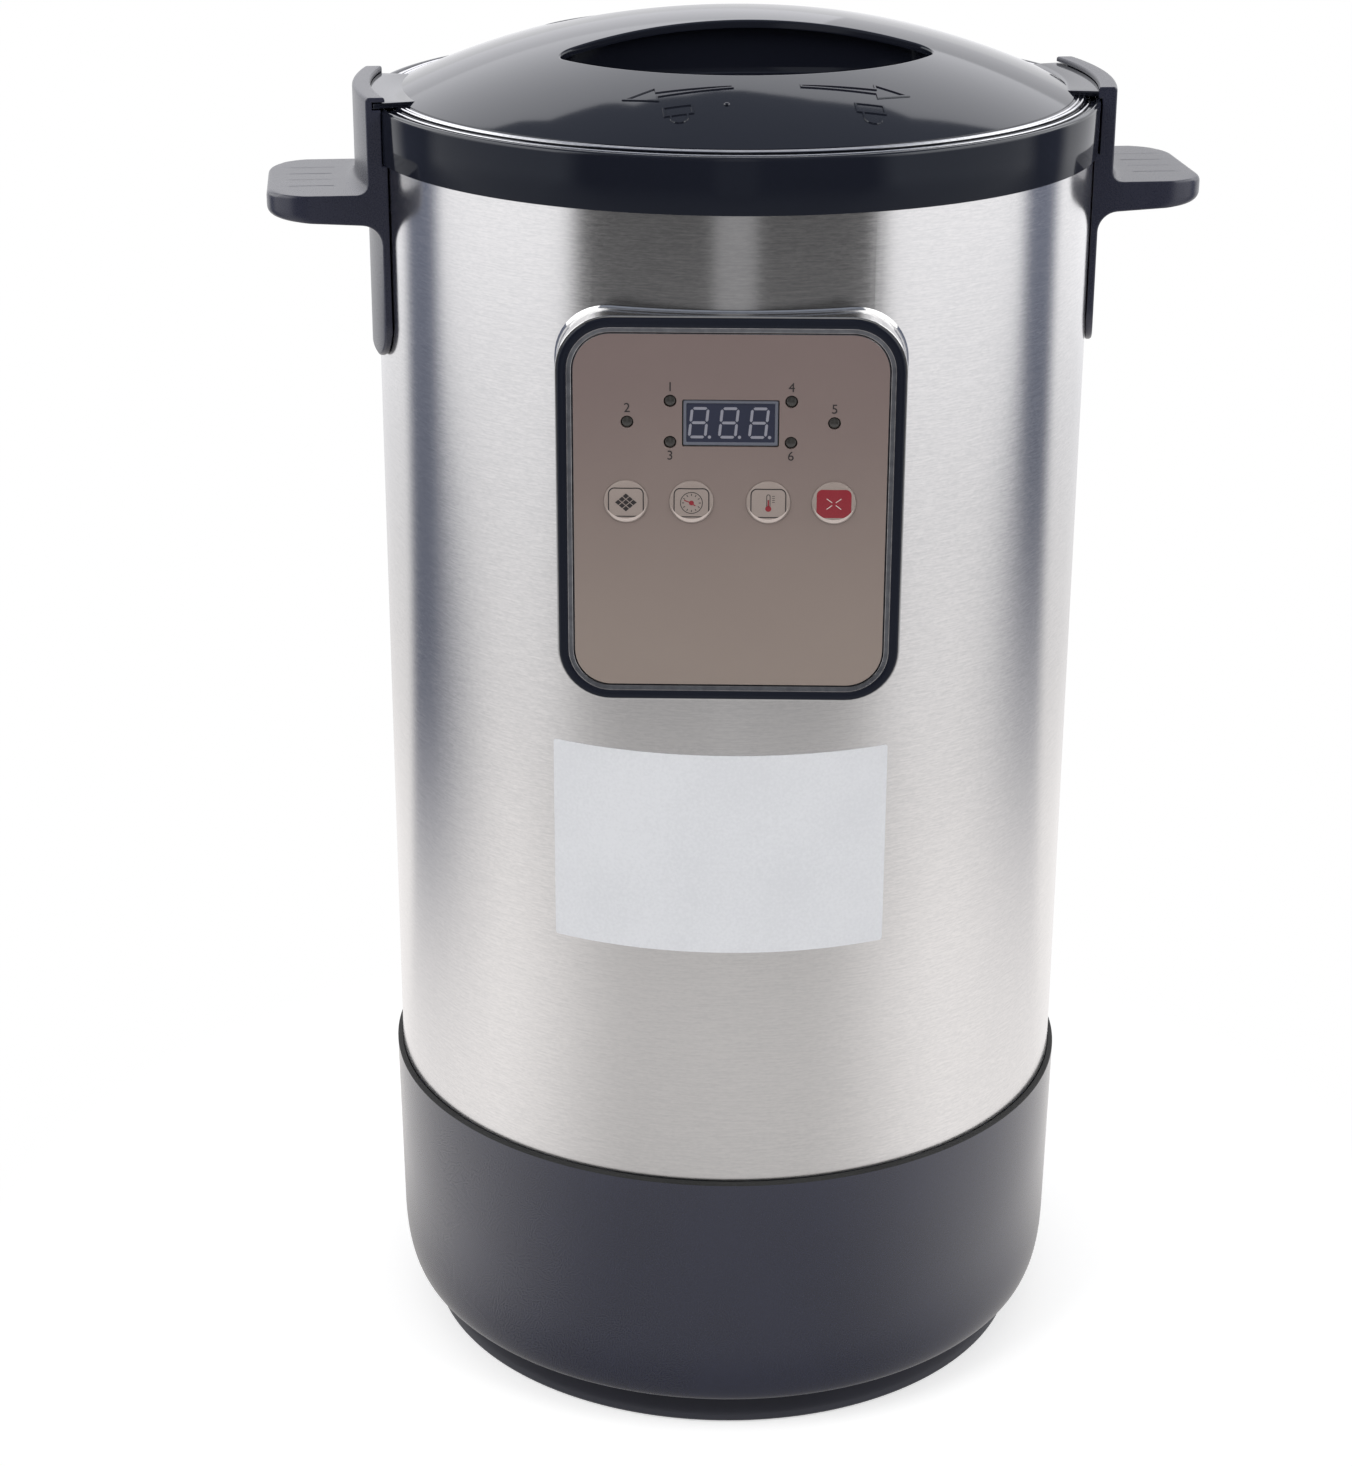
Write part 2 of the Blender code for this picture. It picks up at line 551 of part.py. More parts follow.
def heating(aluminium, steel, ceramic):
    """Heating plate under the tank, the sensor in its middle and the fuse on its underside."""
    bore = SENSOR_RADIUS + GAP
    low = HEATER_TOP_Z - HEATER_THICK
    inner, outer = ELEMENT_RADIUS - ELEMENT_WIDTH / 2, ELEMENT_RADIUS + ELEMENT_WIDTH / 2
    slant = ELEMENT_DROP / 3
    profile = [(bore, HEATER_TOP_Z), (HEATER_RADIUS, HEATER_TOP_Z), (HEATER_RADIUS, low), (outer, low),
               (outer - slant, low - ELEMENT_DROP), (inner + slant, low - ELEMENT_DROP), (inner, low),
               (bore, low)]
    turned("heating_plate", profile, aluminium, segments=HEATER_SEGMENTS)
    flange_top = low - GAP
    flange_low = flange_top - SENSOR_FLANGE[1]
    tail_radius, tail_length = SENSOR_TAIL
    capsule = [(0, HEATER_TOP_Z), (SENSOR_RADIUS, HEATER_TOP_Z), (SENSOR_RADIUS, flange_top),
               (SENSOR_FLANGE[0], flange_top), (SENSOR_FLANGE[0], flange_low), (tail_radius, flange_low),
               (tail_radius, flange_low - tail_length), (0, flange_low - tail_length)]
    turned("temperature_sensor", capsule, steel, segments=SMALL_SEGMENTS)
    radius, length = FUSE_SIZE
    end_radius, end_length = FUSE_END
    body = [(0, length / 2), (end_radius, length / 2), (radius, length / 2 - end_length),
            (radius, end_length - length / 2), (end_radius, -length / 2), (0, -length / 2)]
    fuse = turned("thermal_fuse", body, ceramic, location=(0, FUSE_OFFSET, low - GAP - radius),
                  segments=HOLE_SEGMENTS)
    fuse.rotation_euler = (0, pi / 2, 0)


def power_board(board, iron, relay_look, can):
    """Supply board on the base plate's standoffs, with its three large components."""
    width, depth, thick = BOARD_SIZE
    prism("power_board", rectangle(width, depth), BOARD_Z, BOARD_Z + thick, board)
    seat = BOARD_Z + thick + GAP
    blocks = (("transformer", TRANSFORMER_SIZE, -width / 4, iron),
              ("heater_relay", RELAY_SIZE, width / 10, relay_look))
    for name, (x, y, z), place, look in blocks:
        outline = rounded_rectangle(x, y, y / 12, 2)
        prism(name, outline, seat, seat + z, look, location=(place, depth / 5, 0))
    radius, height = CAPACITOR_SIZE
    crimp = CAPACITOR_CHAMFER
    shape = [(0, height), (radius - crimp, height), (radius, height - crimp), (radius, 0), (0, 0)]
    turned("supply_capacitor", shape, can, location=(width / 3, depth / 5, seat), segments=SMALL_SEGMENTS)


def power_inlet(shell, plastic, brass):
    """Three-pin inlet through a flat pad at the back of the base shell."""
    carrier = frame("inlet_frame", (0, BASE_RIM_RADIUS, BASE_HEIGHT - INLET_DROP), (-pi / 2, 0, 0))
    flange_x, flange_z, flange_thick = INLET_FLANGE
    body_x, body_z, body_depth = INLET_BODY
    well_x, well_z, well_depth = INLET_WELL
    margin = 2 * INLET_PAD_MARGIN
    wall_middle = BASE_SIDE_RADIUS - BASE_WALL / 2
    pad_back = BASE_RIM_RADIUS - sqrt(wall_middle ** 2 - (flange_x / 2 + margin / 2) ** 2)
    pad = prism("inlet_pad", rounded_rectangle(flange_x + margin, flange_z + margin, INLET_PAD_MARGIN),
                -pad_back, 0.0, parent=carrier)
    join(shell, pad)
    opening = prism("inlet_opening", rectangle(body_x + 2 * GAP, body_z + 2 * GAP), -body_depth, body_depth,
                    parent=carrier)
    cut(shell, opening)
    front = GAP + flange_thick
    inlet = prism("power_inlet", rounded_rectangle(flange_x, flange_z, INLET_PAD_MARGIN), GAP, front,
                  plastic, carrier)
    body = prism("inlet_body", rectangle(body_x, body_z), front - body_depth, front - flange_thick / 2,
                 parent=carrier)
    well = prism("inlet_well", rounded_rectangle(well_x, well_z, INLET_PAD_MARGIN), front - well_depth,
                 front + CUT_PAST, parent=carrier)
    join(inlet, body)
    cut(inlet, well)
    pin_front = front - well_depth + PIN_SHOWN
    for index, place in enumerate(PIN_PLACES):
        hole = prism(f"pin_hole_{index}", rectangle(PIN_SIZE[1] + 2 * GAP, PIN_SIZE[0] + 2 * GAP, place),
                     front - 2 * body_depth, pin_front, parent=carrier)
        cut(inlet, hole)
        prism(f"inlet_pin_{index + 1}", rectangle(PIN_SIZE[1], PIN_SIZE[0], place), pin_front - PIN_SIZE[2],
              pin_front, brass, carrier)


def handle(side, carrier, look, steel):
    """One moulding: post with the bayonet channel, grip and strap, and its two screws."""
    sweep = asin(HANDLE_HALF_WIDTH / STRAP_INNER) + HANDLE_SPARE
    taper = GRIP_TAPER / (HANDLE_REACH - GRIP_ROOT_X)
    under_x = STRAP_OUTER + STRAP_FILLET
    under_z = GRIP_BOTTOM_Z + taper * (under_x - GRIP_ROOT_X)
    step_z = COLLAR_BOTTOM_Z - GAP
    root = POST_OUTER + ROOT_FILLET
    upper_fillet = arc((root, GRIP_TOP_Z + ROOT_FILLET), ROOT_FILLET, pi, 3 * pi / 2, 4)
    lower_fillet = arc((under_x, under_z - STRAP_FILLET), STRAP_FILLET, pi / 2, pi, 4)
    section = [(LIP_INNER, POST_TOP_Z), (POST_OUTER - GRIP_EDGE, POST_TOP_Z),
               (POST_OUTER, POST_TOP_Z - GRIP_EDGE)]
    section += upper_fillet + [(root, GRIP_MIDDLE_Z)] + lower_fillet
    section += [(STRAP_OUTER, STRAP_BOTTOM_Z), (STRAP_INNER, STRAP_BOTTOM_Z), (STRAP_INNER, step_z),
                (POST_INNER, step_z), (POST_INNER, LUG_BOTTOM_Z), (LIP_INNER, LUG_BOTTOM_Z)]
    body = sector(f"handle_{side}", section, -sweep, sweep, 8, look, carrier)
    low, high = STRAP_BOTTOM_Z, POST_TOP_Z + STRAP_CORNER
    outline = [(HANDLE_HALF_WIDTH, high), (-HANDLE_HALF_WIDTH, high)]
    strap_y, strap_z = HANDLE_HALF_WIDTH - STRAP_CORNER, low + STRAP_CORNER
    outline += arc((-strap_y, strap_z), STRAP_CORNER, pi, 3 * pi / 2, 5)
    outline += arc((strap_y, strap_z), STRAP_CORNER, 3 * pi / 2, 2 * pi, 5)
    trim = prism(f"handle_trim_{side}", outline, 0.0, 2 * HANDLE_REACH, parent=carrier)
    trim.matrix_local = Matrix(((0, 0, 1, 0), (1, 0, 0, 0), (0, 1, 0, 0), (0, 0, 0, 1)))
    combine(body, trim, 'INTERSECT')
    corner_x, corner_y = HANDLE_REACH - GRIP_CORNER, HANDLE_HALF_WIDTH - GRIP_CORNER
    tab = [(GRIP_ROOT_X, HANDLE_HALF_WIDTH), (GRIP_ROOT_X, -HANDLE_HALF_WIDTH)]
    tab += arc((corner_x, -corner_y), GRIP_CORNER, -pi / 2, 0.0, 6)
    tab += arc((corner_x, corner_y), GRIP_CORNER, 0.0, pi / 2, 6)
    grip = prism(f"grip_{side}", tab, GRIP_BOTTOM_Z, GRIP_TOP_Z, parent=carrier)
    for vert in grip.data.vertices:
        if vert.co.z < GRIP_MIDDLE_Z:
            vert.co.z += taper * (vert.co.x - GRIP_ROOT_X)
    join(body, grip)
    groove_x, groove_y, groove_z = GROOVE_SIZE
    for index in range(GROOVE_COUNT):
        y = (index - (GROOVE_COUNT - 1) / 2) * GROOVE_PITCH
        x = HANDLE_REACH - GRIP_CORNER / 2 - groove_x / 2
        groove = prism(f"groove_{side}_{index}", rectangle(groove_x, groove_y, (x, y)),
                       GRIP_TOP_Z - groove_z, GRIP_TOP_Z + CUT_PAST, parent=carrier)
        cut(body, groove)
    channel = [(TANK_RADIUS, CHANNEL_TOP_Z), (CHANNEL_OUTER, CHANNEL_TOP_Z), (CHANNEL_OUTER, COLLAR_TOP_Z),
               (TANK_RADIUS, COLLAR_TOP_Z)]
    channel_end = sweep + HANDLE_SPARE
    cut(body, sector(f"channel_{side}", channel, -CHANNEL_END_ANGLE, channel_end, 8, None, carrier))
    for index, y in enumerate((-HANDLE_SCREW_SPREAD, HANDLE_SCREW_SPREAD)):
        head_x = sqrt(BARREL_INNER ** 2 - (HANDLE_SCREW_SPREAD + SCREW_HEAD[0]) ** 2) - GAP - SCREW_HEAD[1]
        end = HANDLE_SCREW_LENGTH + SCREW_HEAD[1] + GAP
        rod = [(0, end), (SCREW_HOLE, end), (SCREW_HOLE, 0), (0, 0)]
        bore = turned(f"handle_bore_{side}_{index}", rod, None, carrier, (head_x, y, GRIP_MIDDLE_Z),
                      HOLE_SEGMENTS)
        bore.rotation_euler = (0, pi / 2, 0)
        cut(body, bore)
        place = index + 1 if side == "right" else index + 3
        screw = turned(f"handle_screw_{place}", screw_profile(HANDLE_SCREW_LENGTH), steel, carrier,
                       (head_x, y, GRIP_MIDDLE_Z), HOLE_SEGMENTS)
        screw.rotation_euler = (0, pi / 2, 0)


def dome_height(radius, inward=0.0):
    """Height of the dome, or of its inner face, at a radius."""
    return APEX_Z - DOME_RADIUS + sqrt((DOME_RADIUS - inward) ** 2 - radius ** 2)


def dome_profile(edge, inward, low):
    """Half section under the dome from the axis out to an edge radius and down."""
    radii = [edge * step / 5 for step in range(6)]
    return [(r, dome_height(r, inward)) for r in radii] + [(edge, low), (0, low)]


def is_tip(edge):
    """True for the upright edges at a lens outline's two points."""
    start, end = edge.verts
    upright = abs(start.co.x - end.co.x) < 1e-7 and abs(start.co.y - end.co.y) < 1e-7
    return upright and abs(start.co.x) > POCKET_HALF_LENGTH * 0.98


def lid_cover(look):
    """Dome with two undercut finger pockets, a boss for the inner lid and two bayonet lugs."""
    cover = turned("lid_cover", dome_profile(LID_RADIUS, 0.0, LUG_BOTTOM_Z), look, lid_frame)
    lug = [(LID_RADIUS - LUG_ROOT, LUG_TOP_Z), (LUG_OUTER, LUG_TOP_Z), (LUG_OUTER, LUG_BOTTOM_Z),
           (LID_RADIUS - LUG_ROOT, LUG_BOTTOM_Z)]
    for index, middle in enumerate((0.0, pi)):
        start, end = middle - LUG_SHUT_ANGLE, middle + LUG_OPEN_ANGLE
        join(cover, sector(f"lug_{index}", lug, start, end, 8, None, lid_frame))
    hollow = turned("lid_hollow", dome_profile(HOLLOW_RADIUS, LID_SHELL, DISH_Z), None, lid_frame)
    inner_dome = turned("inner_dome", dome_profile(HOLLOW_RADIUS, LID_SHELL, DISH_Z), None, lid_frame)
    tip_y = BAR_WIDTH / 2 + POCKET_INNER_BOW
    reach = POCKET_HALF_LENGTH + 2 * POCKET_WALL
    bows = (POCKET_INNER_BOW, POCKET_OUTER_BOW)
    cup_bows = (POCKET_INNER_BOW + POCKET_WALL, POCKET_OUTER_BOW + POCKET_WALL)
    voids = []
    for name, side in (("front", -1), ("rear", 1)):
        outline = lens(POCKET_HALF_LENGTH, *bows, tip_y, side)
        shifted = lens(POCKET_HALF_LENGTH, *bows, tip_y - POCKET_UNDERCUT, side)
        cup = lens(reach, *cup_bows, tip_y, side)
        cup_shifted = lens(reach, *cup_bows, tip_y - POCKET_UNDERCUT, side)
        low = POCKET_FLOOR_Z - POCKET_WALL
        cut(hollow, prism(f"cup_{name}", cup, low, APEX_Z, None, lid_frame),
            prism(f"cup_under_{name}", cup_shifted, low, APEX_Z, None, lid_frame))
        mouth = prism(f"pocket_{name}", outline, POCKET_FLOOR_Z, APEX_Z + CUT_PAST, None, lid_frame,
                      round_edges=(is_tip, POCKET_TIP))
        under = prism(f"undercut_{name}", shifted, POCKET_FLOOR_Z, APEX_Z, None, lid_frame,
                      round_edges=(is_tip, POCKET_TIP))
        combine(under, inner_dome, 'INTERSECT')
        voids += [mouth, under]
    cut(cover, hollow, *voids)
    boss_top = APEX_Z - LID_SHELL / 2
    boss_low = DISH_Z + INNER_LID_THICK + GAP
    post = [(0, boss_top), (BOSS_RADIUS, boss_top), (BOSS_RADIUS, boss_low), (SPIGOT_RADIUS, boss_low),
            (SPIGOT_RADIUS, DISH_Z), (0, DISH_Z)]
    join(cover, turned("lid_boss", post, None, lid_frame, segments=SMALL_SEGMENTS))
    bore = prism("boss_bore", circle(SCREW_HOLE, HOLE_SEGMENTS), DISH_Z - CUT_PAST,
                 DISH_Z + LID_SCREW_LENGTH, None, lid_frame)
    cut(cover, bore)


def lid_fixings(plastic, steel):
    """Washer and screw that hold the inner lid on the boss."""
    radius, thick = WASHER_SIZE
    high = DISH_Z - GAP
    ring = [(radius, high), (radius, high - thick), (SCREW_HOLE, high - thick), (SCREW_HOLE, high)]
    turned("lid_washer", ring, plastic, lid_frame, segments=SMALL_SEGMENTS)
    seat = high - thick - GAP - SCREW_HEAD[1]
    length = DISH_Z + LID_SCREW_LENGTH - GAP - seat - SCREW_HEAD[1]
    turned("lid_screw", screw_profile(length), steel, lid_frame, (0, 0, seat), HOLE_SEGMENTS)


def inner_lid(steel, rubber):
    """Pressed inner lid and the seal around its edge."""
    top_z, bore = INNER_LID_Z + INNER_LID_THICK, SPIGOT_RADIUS + SPIGOT_PLAY
    edge = SEAL_BORE + SEAL_GROOVE - GAP
    shoulder, dish = edge - INNER_LID_SHOULDER, edge - INNER_LID_SHOULDER - INNER_LID_SLOPE
    profile = [(edge, top_z), (edge, INNER_LID_Z), (shoulder, INNER_LID_Z), (dish, DISH_Z), (bore, DISH_Z),
               (bore, DISH_Z + INNER_LID_THICK), (dish, DISH_Z + INNER_LID_THICK), (shoulder, top_z)]
    turned("inner_lid", profile, steel)
    groove = SEAL_BORE + SEAL_GROOVE
    section = [(FLANGE_RADIUS, SEAL_TOP_Z), (FLANGE_RADIUS, SEAL_BOTTOM_Z), (SEAL_BORE, SEAL_BOTTOM_Z),
               (SEAL_BORE, INNER_LID_Z - GAP), (groove, INNER_LID_Z - GAP), (groove, top_z + GAP),
               (SEAL_BORE, top_z + GAP), (SEAL_BORE, SEAL_TOP_Z)]
    turned("lid_seal", section, rubber)


def panel(bezel_look, plate_look, window_look, lamp_look, board, switch_look, button_look):
    """Bezel against the barrel, faceplate, display, lamps, buttons, switches and control board."""
    outline = rounded_rectangle(PANEL_WIDTH, PANEL_HEIGHT, PANEL_CORNER)
    bezel = prism("panel_bezel", outline, 0.0, PANEL_FRONT, bezel_look, panel_frame)
    spread, thick = PANEL_FLANGE
    wide = rounded_rectangle(PANEL_WIDTH + 2 * spread, PANEL_HEIGHT + 2 * spread, PANEL_CORNER + spread)
    flange = prism("bezel_flange", wide, 0.0, PANEL_FRONT, None, panel_frame)
    half, skin_radius = PANEL_HEIGHT, STRAP_INNER + thick
    skin = turned("flange_skin", [(0, half), (skin_radius, half), (skin_radius, -half), (0, -half)],
                  location=(0, 0, PANEL_CENTRE_Z))
    combine(flange, skin, 'INTERSECT')
    join(bezel, flange)
    hug = turned("bezel_hug", [(0, half), (STRAP_INNER, half), (STRAP_INNER, -half), (0, -half)],
                 location=(0, 0, PANEL_CENTRE_Z))
    seat_width, seat_height = PANEL_WIDTH - 2 * PANEL_FRAME, PANEL_HEIGHT - 2 * PANEL_FRAME
    seat_corner = PANEL_CORNER - PANEL_FRAME
    seat = prism("faceplate_seat", rounded_rectangle(seat_width, seat_height, seat_corner),
                 PANEL_LEDGE_FRONT, PANEL_FRONT + CUT_PAST, None, panel_frame)
    window = prism("bezel_window", rounded_rectangle(WINDOW_WIDTH, WINDOW_HEIGHT, PANEL_CORNER / 2), 0.0,
                   PANEL_FRONT, None, panel_frame)
    cut(bezel, hug, seat, window)
    post_x = WINDOW_WIDTH / 2 - CONTROL_POST_RADIUS / 3
    post_y = WINDOW_HEIGHT / 2 - 2 * CONTROL_POST_RADIUS
    for index, (x, y) in enumerate(rectangle(2 * post_x, 2 * post_y)):
        join(bezel, prism(f"board_post_{index}", circle(CONTROL_POST_RADIUS, HOLE_SEGMENTS, (x, y)),
                          CONTROL_BOARD_FRONT + GAP, PANEL_LEDGE_FRONT - GAP, None, panel_frame))
    plate_outline = rounded_rectangle(seat_width - 2 * GAP, seat_height - 2 * GAP, seat_corner - GAP)
    plate = prism("panel_faceplate", plate_outline, FACEPLATE_BACK, FACEPLATE_FRONT, plate_look, panel_frame)
    width, height, depth = DISPLAY_SIZE
    front = FACEPLATE_FRONT - DISPLAY_SINK
    cut(plate, prism("display_window", rectangle(width + 2 * GAP, height + 2 * GAP, (0, DISPLAY_RISE)), 0.0,
                     PANEL_FRONT, None, panel_frame))
    prism("display_module", rectangle(width, height), front - depth, front, window_look, panel_frame,
          (0, DISPLAY_RISE, 0))
    places = [(-x, y) for x, y in LAMP_PLACES] + list(LAMP_PLACES)
    crown_radius, crown_drop = LAMP_CROWN
    lamp = [(0, FACEPLATE_FRONT), (crown_radius, FACEPLATE_FRONT - crown_drop),
            (LAMP_RADIUS, FACEPLATE_FRONT - LAMP_RADIUS), (LAMP_RADIUS, FACEPLATE_FRONT - LAMP_LENGTH),
            (0, FACEPLATE_FRONT - LAMP_LENGTH)]
    for index, place in enumerate(places):
        cut(plate, prism(f"lamp_hole_{index}", circle(LAMP_RADIUS + GAP, HOLE_SEGMENTS, place), 0.0,
                         PANEL_FRONT, None, panel_frame))
        turned(f"indicator_lamp_{index + 1}", lamp, lamp_look, panel_frame, (*place, 0), HOLE_SEGMENTS)
    board_width, board_height = WINDOW_WIDTH - 2 * GAP, WINDOW_HEIGHT - 2 * GAP
    prism("control_board", rounded_rectangle(board_width, board_height, PANEL_CORNER / 2, 3),
          CONTROL_BOARD_BACK, CONTROL_BOARD_FRONT, board, panel_frame)
    for index, x in enumerate(BUTTON_COLUMNS):
        hole = circle(BUTTON_RADIUS + GAP, SMALL_SEGMENTS, (x, BUTTON_RISE))
        cut(plate, prism(f"button_hole_{index}", hole, 0.0, PANEL_FRONT, None, panel_frame))
        push_button(index + 1, x, switch_look, button_look)


def push_button(number, x, switch_look, button_look):
    """Domed cap with a flange behind the faceplate and a stem in its switch."""
    side, height = SWITCH_SIZE
    switch_low = CONTROL_BOARD_FRONT + GAP
    switch_top = switch_low + height
    switch = prism(f"switch_{number}", rectangle(side, side), switch_low, switch_top, switch_look,
                   panel_frame, (x, BUTTON_RISE, 0))
    well = prism(f"switch_well_{number}", circle(BUTTON_STEM + 2 * GAP, HOLE_SEGMENTS),
                 switch_top - SWITCH_WELL, switch_top + CUT_PAST, None, panel_frame, (x, BUTTON_RISE, 0))
    cut(switch, well)
    stem_end = switch_top - SWITCH_WELL + BUTTON_TRAVEL + GAP
    flange_reach, flange_thick = BUTTON_FLANGE
    flange_top = FACEPLATE_BACK - GAP
    dome_radius = (BUTTON_RADIUS ** 2 + BUTTON_DOME ** 2) / (2 * BUTTON_DOME)
    dome = []
    for step in range(4):
        r = BUTTON_RADIUS * step / 3
        dome.append((r, FACEPLATE_FRONT + BUTTON_DOME - dome_radius + sqrt(dome_radius ** 2 - r ** 2)))
    flange_radius, flange_low = BUTTON_RADIUS + flange_reach, flange_top - flange_thick
    cap = dome + [(BUTTON_RADIUS, flange_top), (flange_radius, flange_top), (flange_radius, flange_low),
                  (BUTTON_STEM, flange_low), (BUTTON_STEM, stem_end), (0, stem_end)]
    turned(f"button_{number}", cap, button_look, panel_frame, (x, BUTTON_RISE, 0), SMALL_SEGMENTS)


def ribbon_cable(look):
    """Flat cable from the control board down the lining's slot to the power board."""
    width, thick = CABLE_SIZE
    run_y = -(TANK_OUTER + INSULATION_THICK / 2)
    board_edge_z = PANEL_CENTRE_Z - WINDOW_HEIGHT / 2
    start_y = -(CONTROL_BOARD_BACK - GAP - thick / 2)
    landing_z = BOARD_Z + BOARD_SIZE[2] + GAP + thick / 2
    landing_y = -BOARD_SIZE[1] / 2
    below_z = TANK_FLOOR_Z - TANK_SINK
    bend = CABLE_BEND
    route = [(start_y, board_edge_z + CABLE_HOLD), (start_y, board_edge_z - bend / 3),
             (run_y, board_edge_z - 4 * bend / 3), (run_y, below_z), (run_y + bend / 2, below_z - 3 * bend / 2),
             (landing_y - 2 * bend, landing_z + bend / 2), (landing_y - bend / 2, landing_z),
             (landing_y + bend, landing_z)]
    outline = offset_strip(route, thick)
    made = prism("ribbon_cable", outline, -width / 2, width / 2, look)
    made.matrix_local = Matrix(((0, 0, 1, 0), (1, 0, 0, 0), (0, 1, 0, 0), (0, 0, 0, 1)))


def offset_strip(route, thick):
    """Closed outline of a strip of even thickness along a route."""
    left, right = [], []
    for index, (a, b) in enumerate(route):
        before = route[max(index - 1, 0)]
        after = route[min(index + 1, len(route) - 1)]
        run = (after[0] - before[0], after[1] - before[1])
        length = sqrt(run[0] ** 2 + run[1] ** 2)
        side = (-run[1] / length * thick / 2, run[0] / length * thick / 2)
        left.append((a + side[0], b + side[1]))
        right.append((a - side[0], b - side[1]))
    return left + right[::-1]


for old in list(bpy.data.objects):
    bpy.data.objects.remove(old, do_unlink=True)

steel = material("brushed steel", (0.60, 0.58, 0.56), 0.32, 1.0)
bright_steel = material("polished steel", (0.66, 0.66, 0.66), 0.20, 1.0)
base_plastic = material("dark grey plastic", (0.048, 0.048, 0.060), 0.50)
ring_plastic = material("foot ring plastic", (0.030, 0.032, 0.046), 0.60)
gloss_black = material("gloss black plastic", (0.012, 0.012, 0.018), 0.12)
handle_black = material("satin black plastic", (0.025, 0.027, 0.038), 0.42)
bronze = material("bronze lacquer", (0.205, 0.155, 0.135), 0.45, 0.3)
display_glass = material("display window", (0.010, 0.011, 0.030), 0.10)
lamp_plastic = material("lamp plastic", (0.045, 0.042, 0.038), 0.30)
button_plastic = material("button plastic", (0.290, 0.225, 0.190), 0.30)
rubber = material("rubber", (0.020, 0.020, 0.020), 0.80)
silicone = material("silicone", (0.62, 0.62, 0.60), 0.55)
felt = material("lining felt", (0.55, 0.53, 0.48), 0.95)
aluminium = material("aluminium", (0.70, 0.70, 0.72), 0.40, 1.0)
brass = material("brass", (0.65, 0.48, 0.20), 0.30, 1.0)
board_green = material("circuit board", (0.02, 0.14, 0.06), 0.50)
component_black = material("component plastic", (0.02, 0.02, 0.02), 0.45)
relay_blue = material("relay plastic", (0.03, 0.10, 0.35), 0.40)
ceramic = material("ceramic", (0.75, 0.73, 0.68), 0.50)
cable_grey = material("cable insulation", (0.30, 0.30, 0.32), 0.50)

panel_frame = frame("panel_frame", (0, 0, PANEL_CENTRE_Z), (pi / 2, 0, 0))
lid_frame = frame("lid_frame", rotation=(0, 0, HANDLE_TURN))
handle_frames = {"right": frame("right_handle_frame", rotation=(0, 0, HANDLE_TURN)),
                 "left": frame("left_handle_frame", rotation=(0, 0, HANDLE_TURN + pi))}

shell = base_shell(base_plastic)
power_inlet(shell, component_black, brass)
base_plate(ring_plastic)
feet_and_screws(rubber, bright_steel)
barrel(steel)
collar(gloss_black)
tank_and_lining(bright_steel, silicone, felt)
heating(aluminium, bright_steel, ceramic)
power_board(board_green, component_black, relay_blue, component_black)
for handle_side, handle_frame in handle_frames.items():
    handle(handle_side, handle_frame, handle_black, bright_steel)
lid_cover(gloss_black)
lid_fixings(component_black, bright_steel)
inner_lid(bright_steel, silicone)
panel(gloss_black, bronze, display_glass, lamp_plastic, board_green, component_black, button_plastic)
ribbon_cable(cable_grey)
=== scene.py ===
import json
from math import asin, atan2, cos, pi, radians, sin, sqrt, tan

import bmesh
import bpy
from mathutils import Matrix, Vector
from mathutils.geometry import delaunay_2d_cdt

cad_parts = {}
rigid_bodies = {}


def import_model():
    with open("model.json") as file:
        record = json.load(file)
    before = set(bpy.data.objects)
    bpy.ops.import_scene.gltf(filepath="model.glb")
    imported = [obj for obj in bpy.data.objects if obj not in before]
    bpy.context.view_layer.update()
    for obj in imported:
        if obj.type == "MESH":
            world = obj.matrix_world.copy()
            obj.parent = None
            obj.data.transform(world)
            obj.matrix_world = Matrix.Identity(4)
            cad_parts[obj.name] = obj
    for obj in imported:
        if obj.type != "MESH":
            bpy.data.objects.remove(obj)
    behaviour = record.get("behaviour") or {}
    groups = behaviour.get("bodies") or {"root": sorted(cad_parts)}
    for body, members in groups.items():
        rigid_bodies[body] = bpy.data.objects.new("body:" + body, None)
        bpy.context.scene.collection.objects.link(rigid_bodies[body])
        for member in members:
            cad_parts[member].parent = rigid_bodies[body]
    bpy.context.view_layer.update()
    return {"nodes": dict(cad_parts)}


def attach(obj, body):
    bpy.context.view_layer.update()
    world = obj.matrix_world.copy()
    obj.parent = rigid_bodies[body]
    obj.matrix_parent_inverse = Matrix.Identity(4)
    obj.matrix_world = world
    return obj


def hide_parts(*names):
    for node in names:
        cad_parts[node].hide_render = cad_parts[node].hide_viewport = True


for leftover in list(bpy.data.objects):
    bpy.data.objects.remove(leftover, do_unlink=True)
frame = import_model()
scene = bpy.context.scene
scene.view_settings.view_transform = "Standard"
print("frame loaded,", len(frame["nodes"]), "nodes")


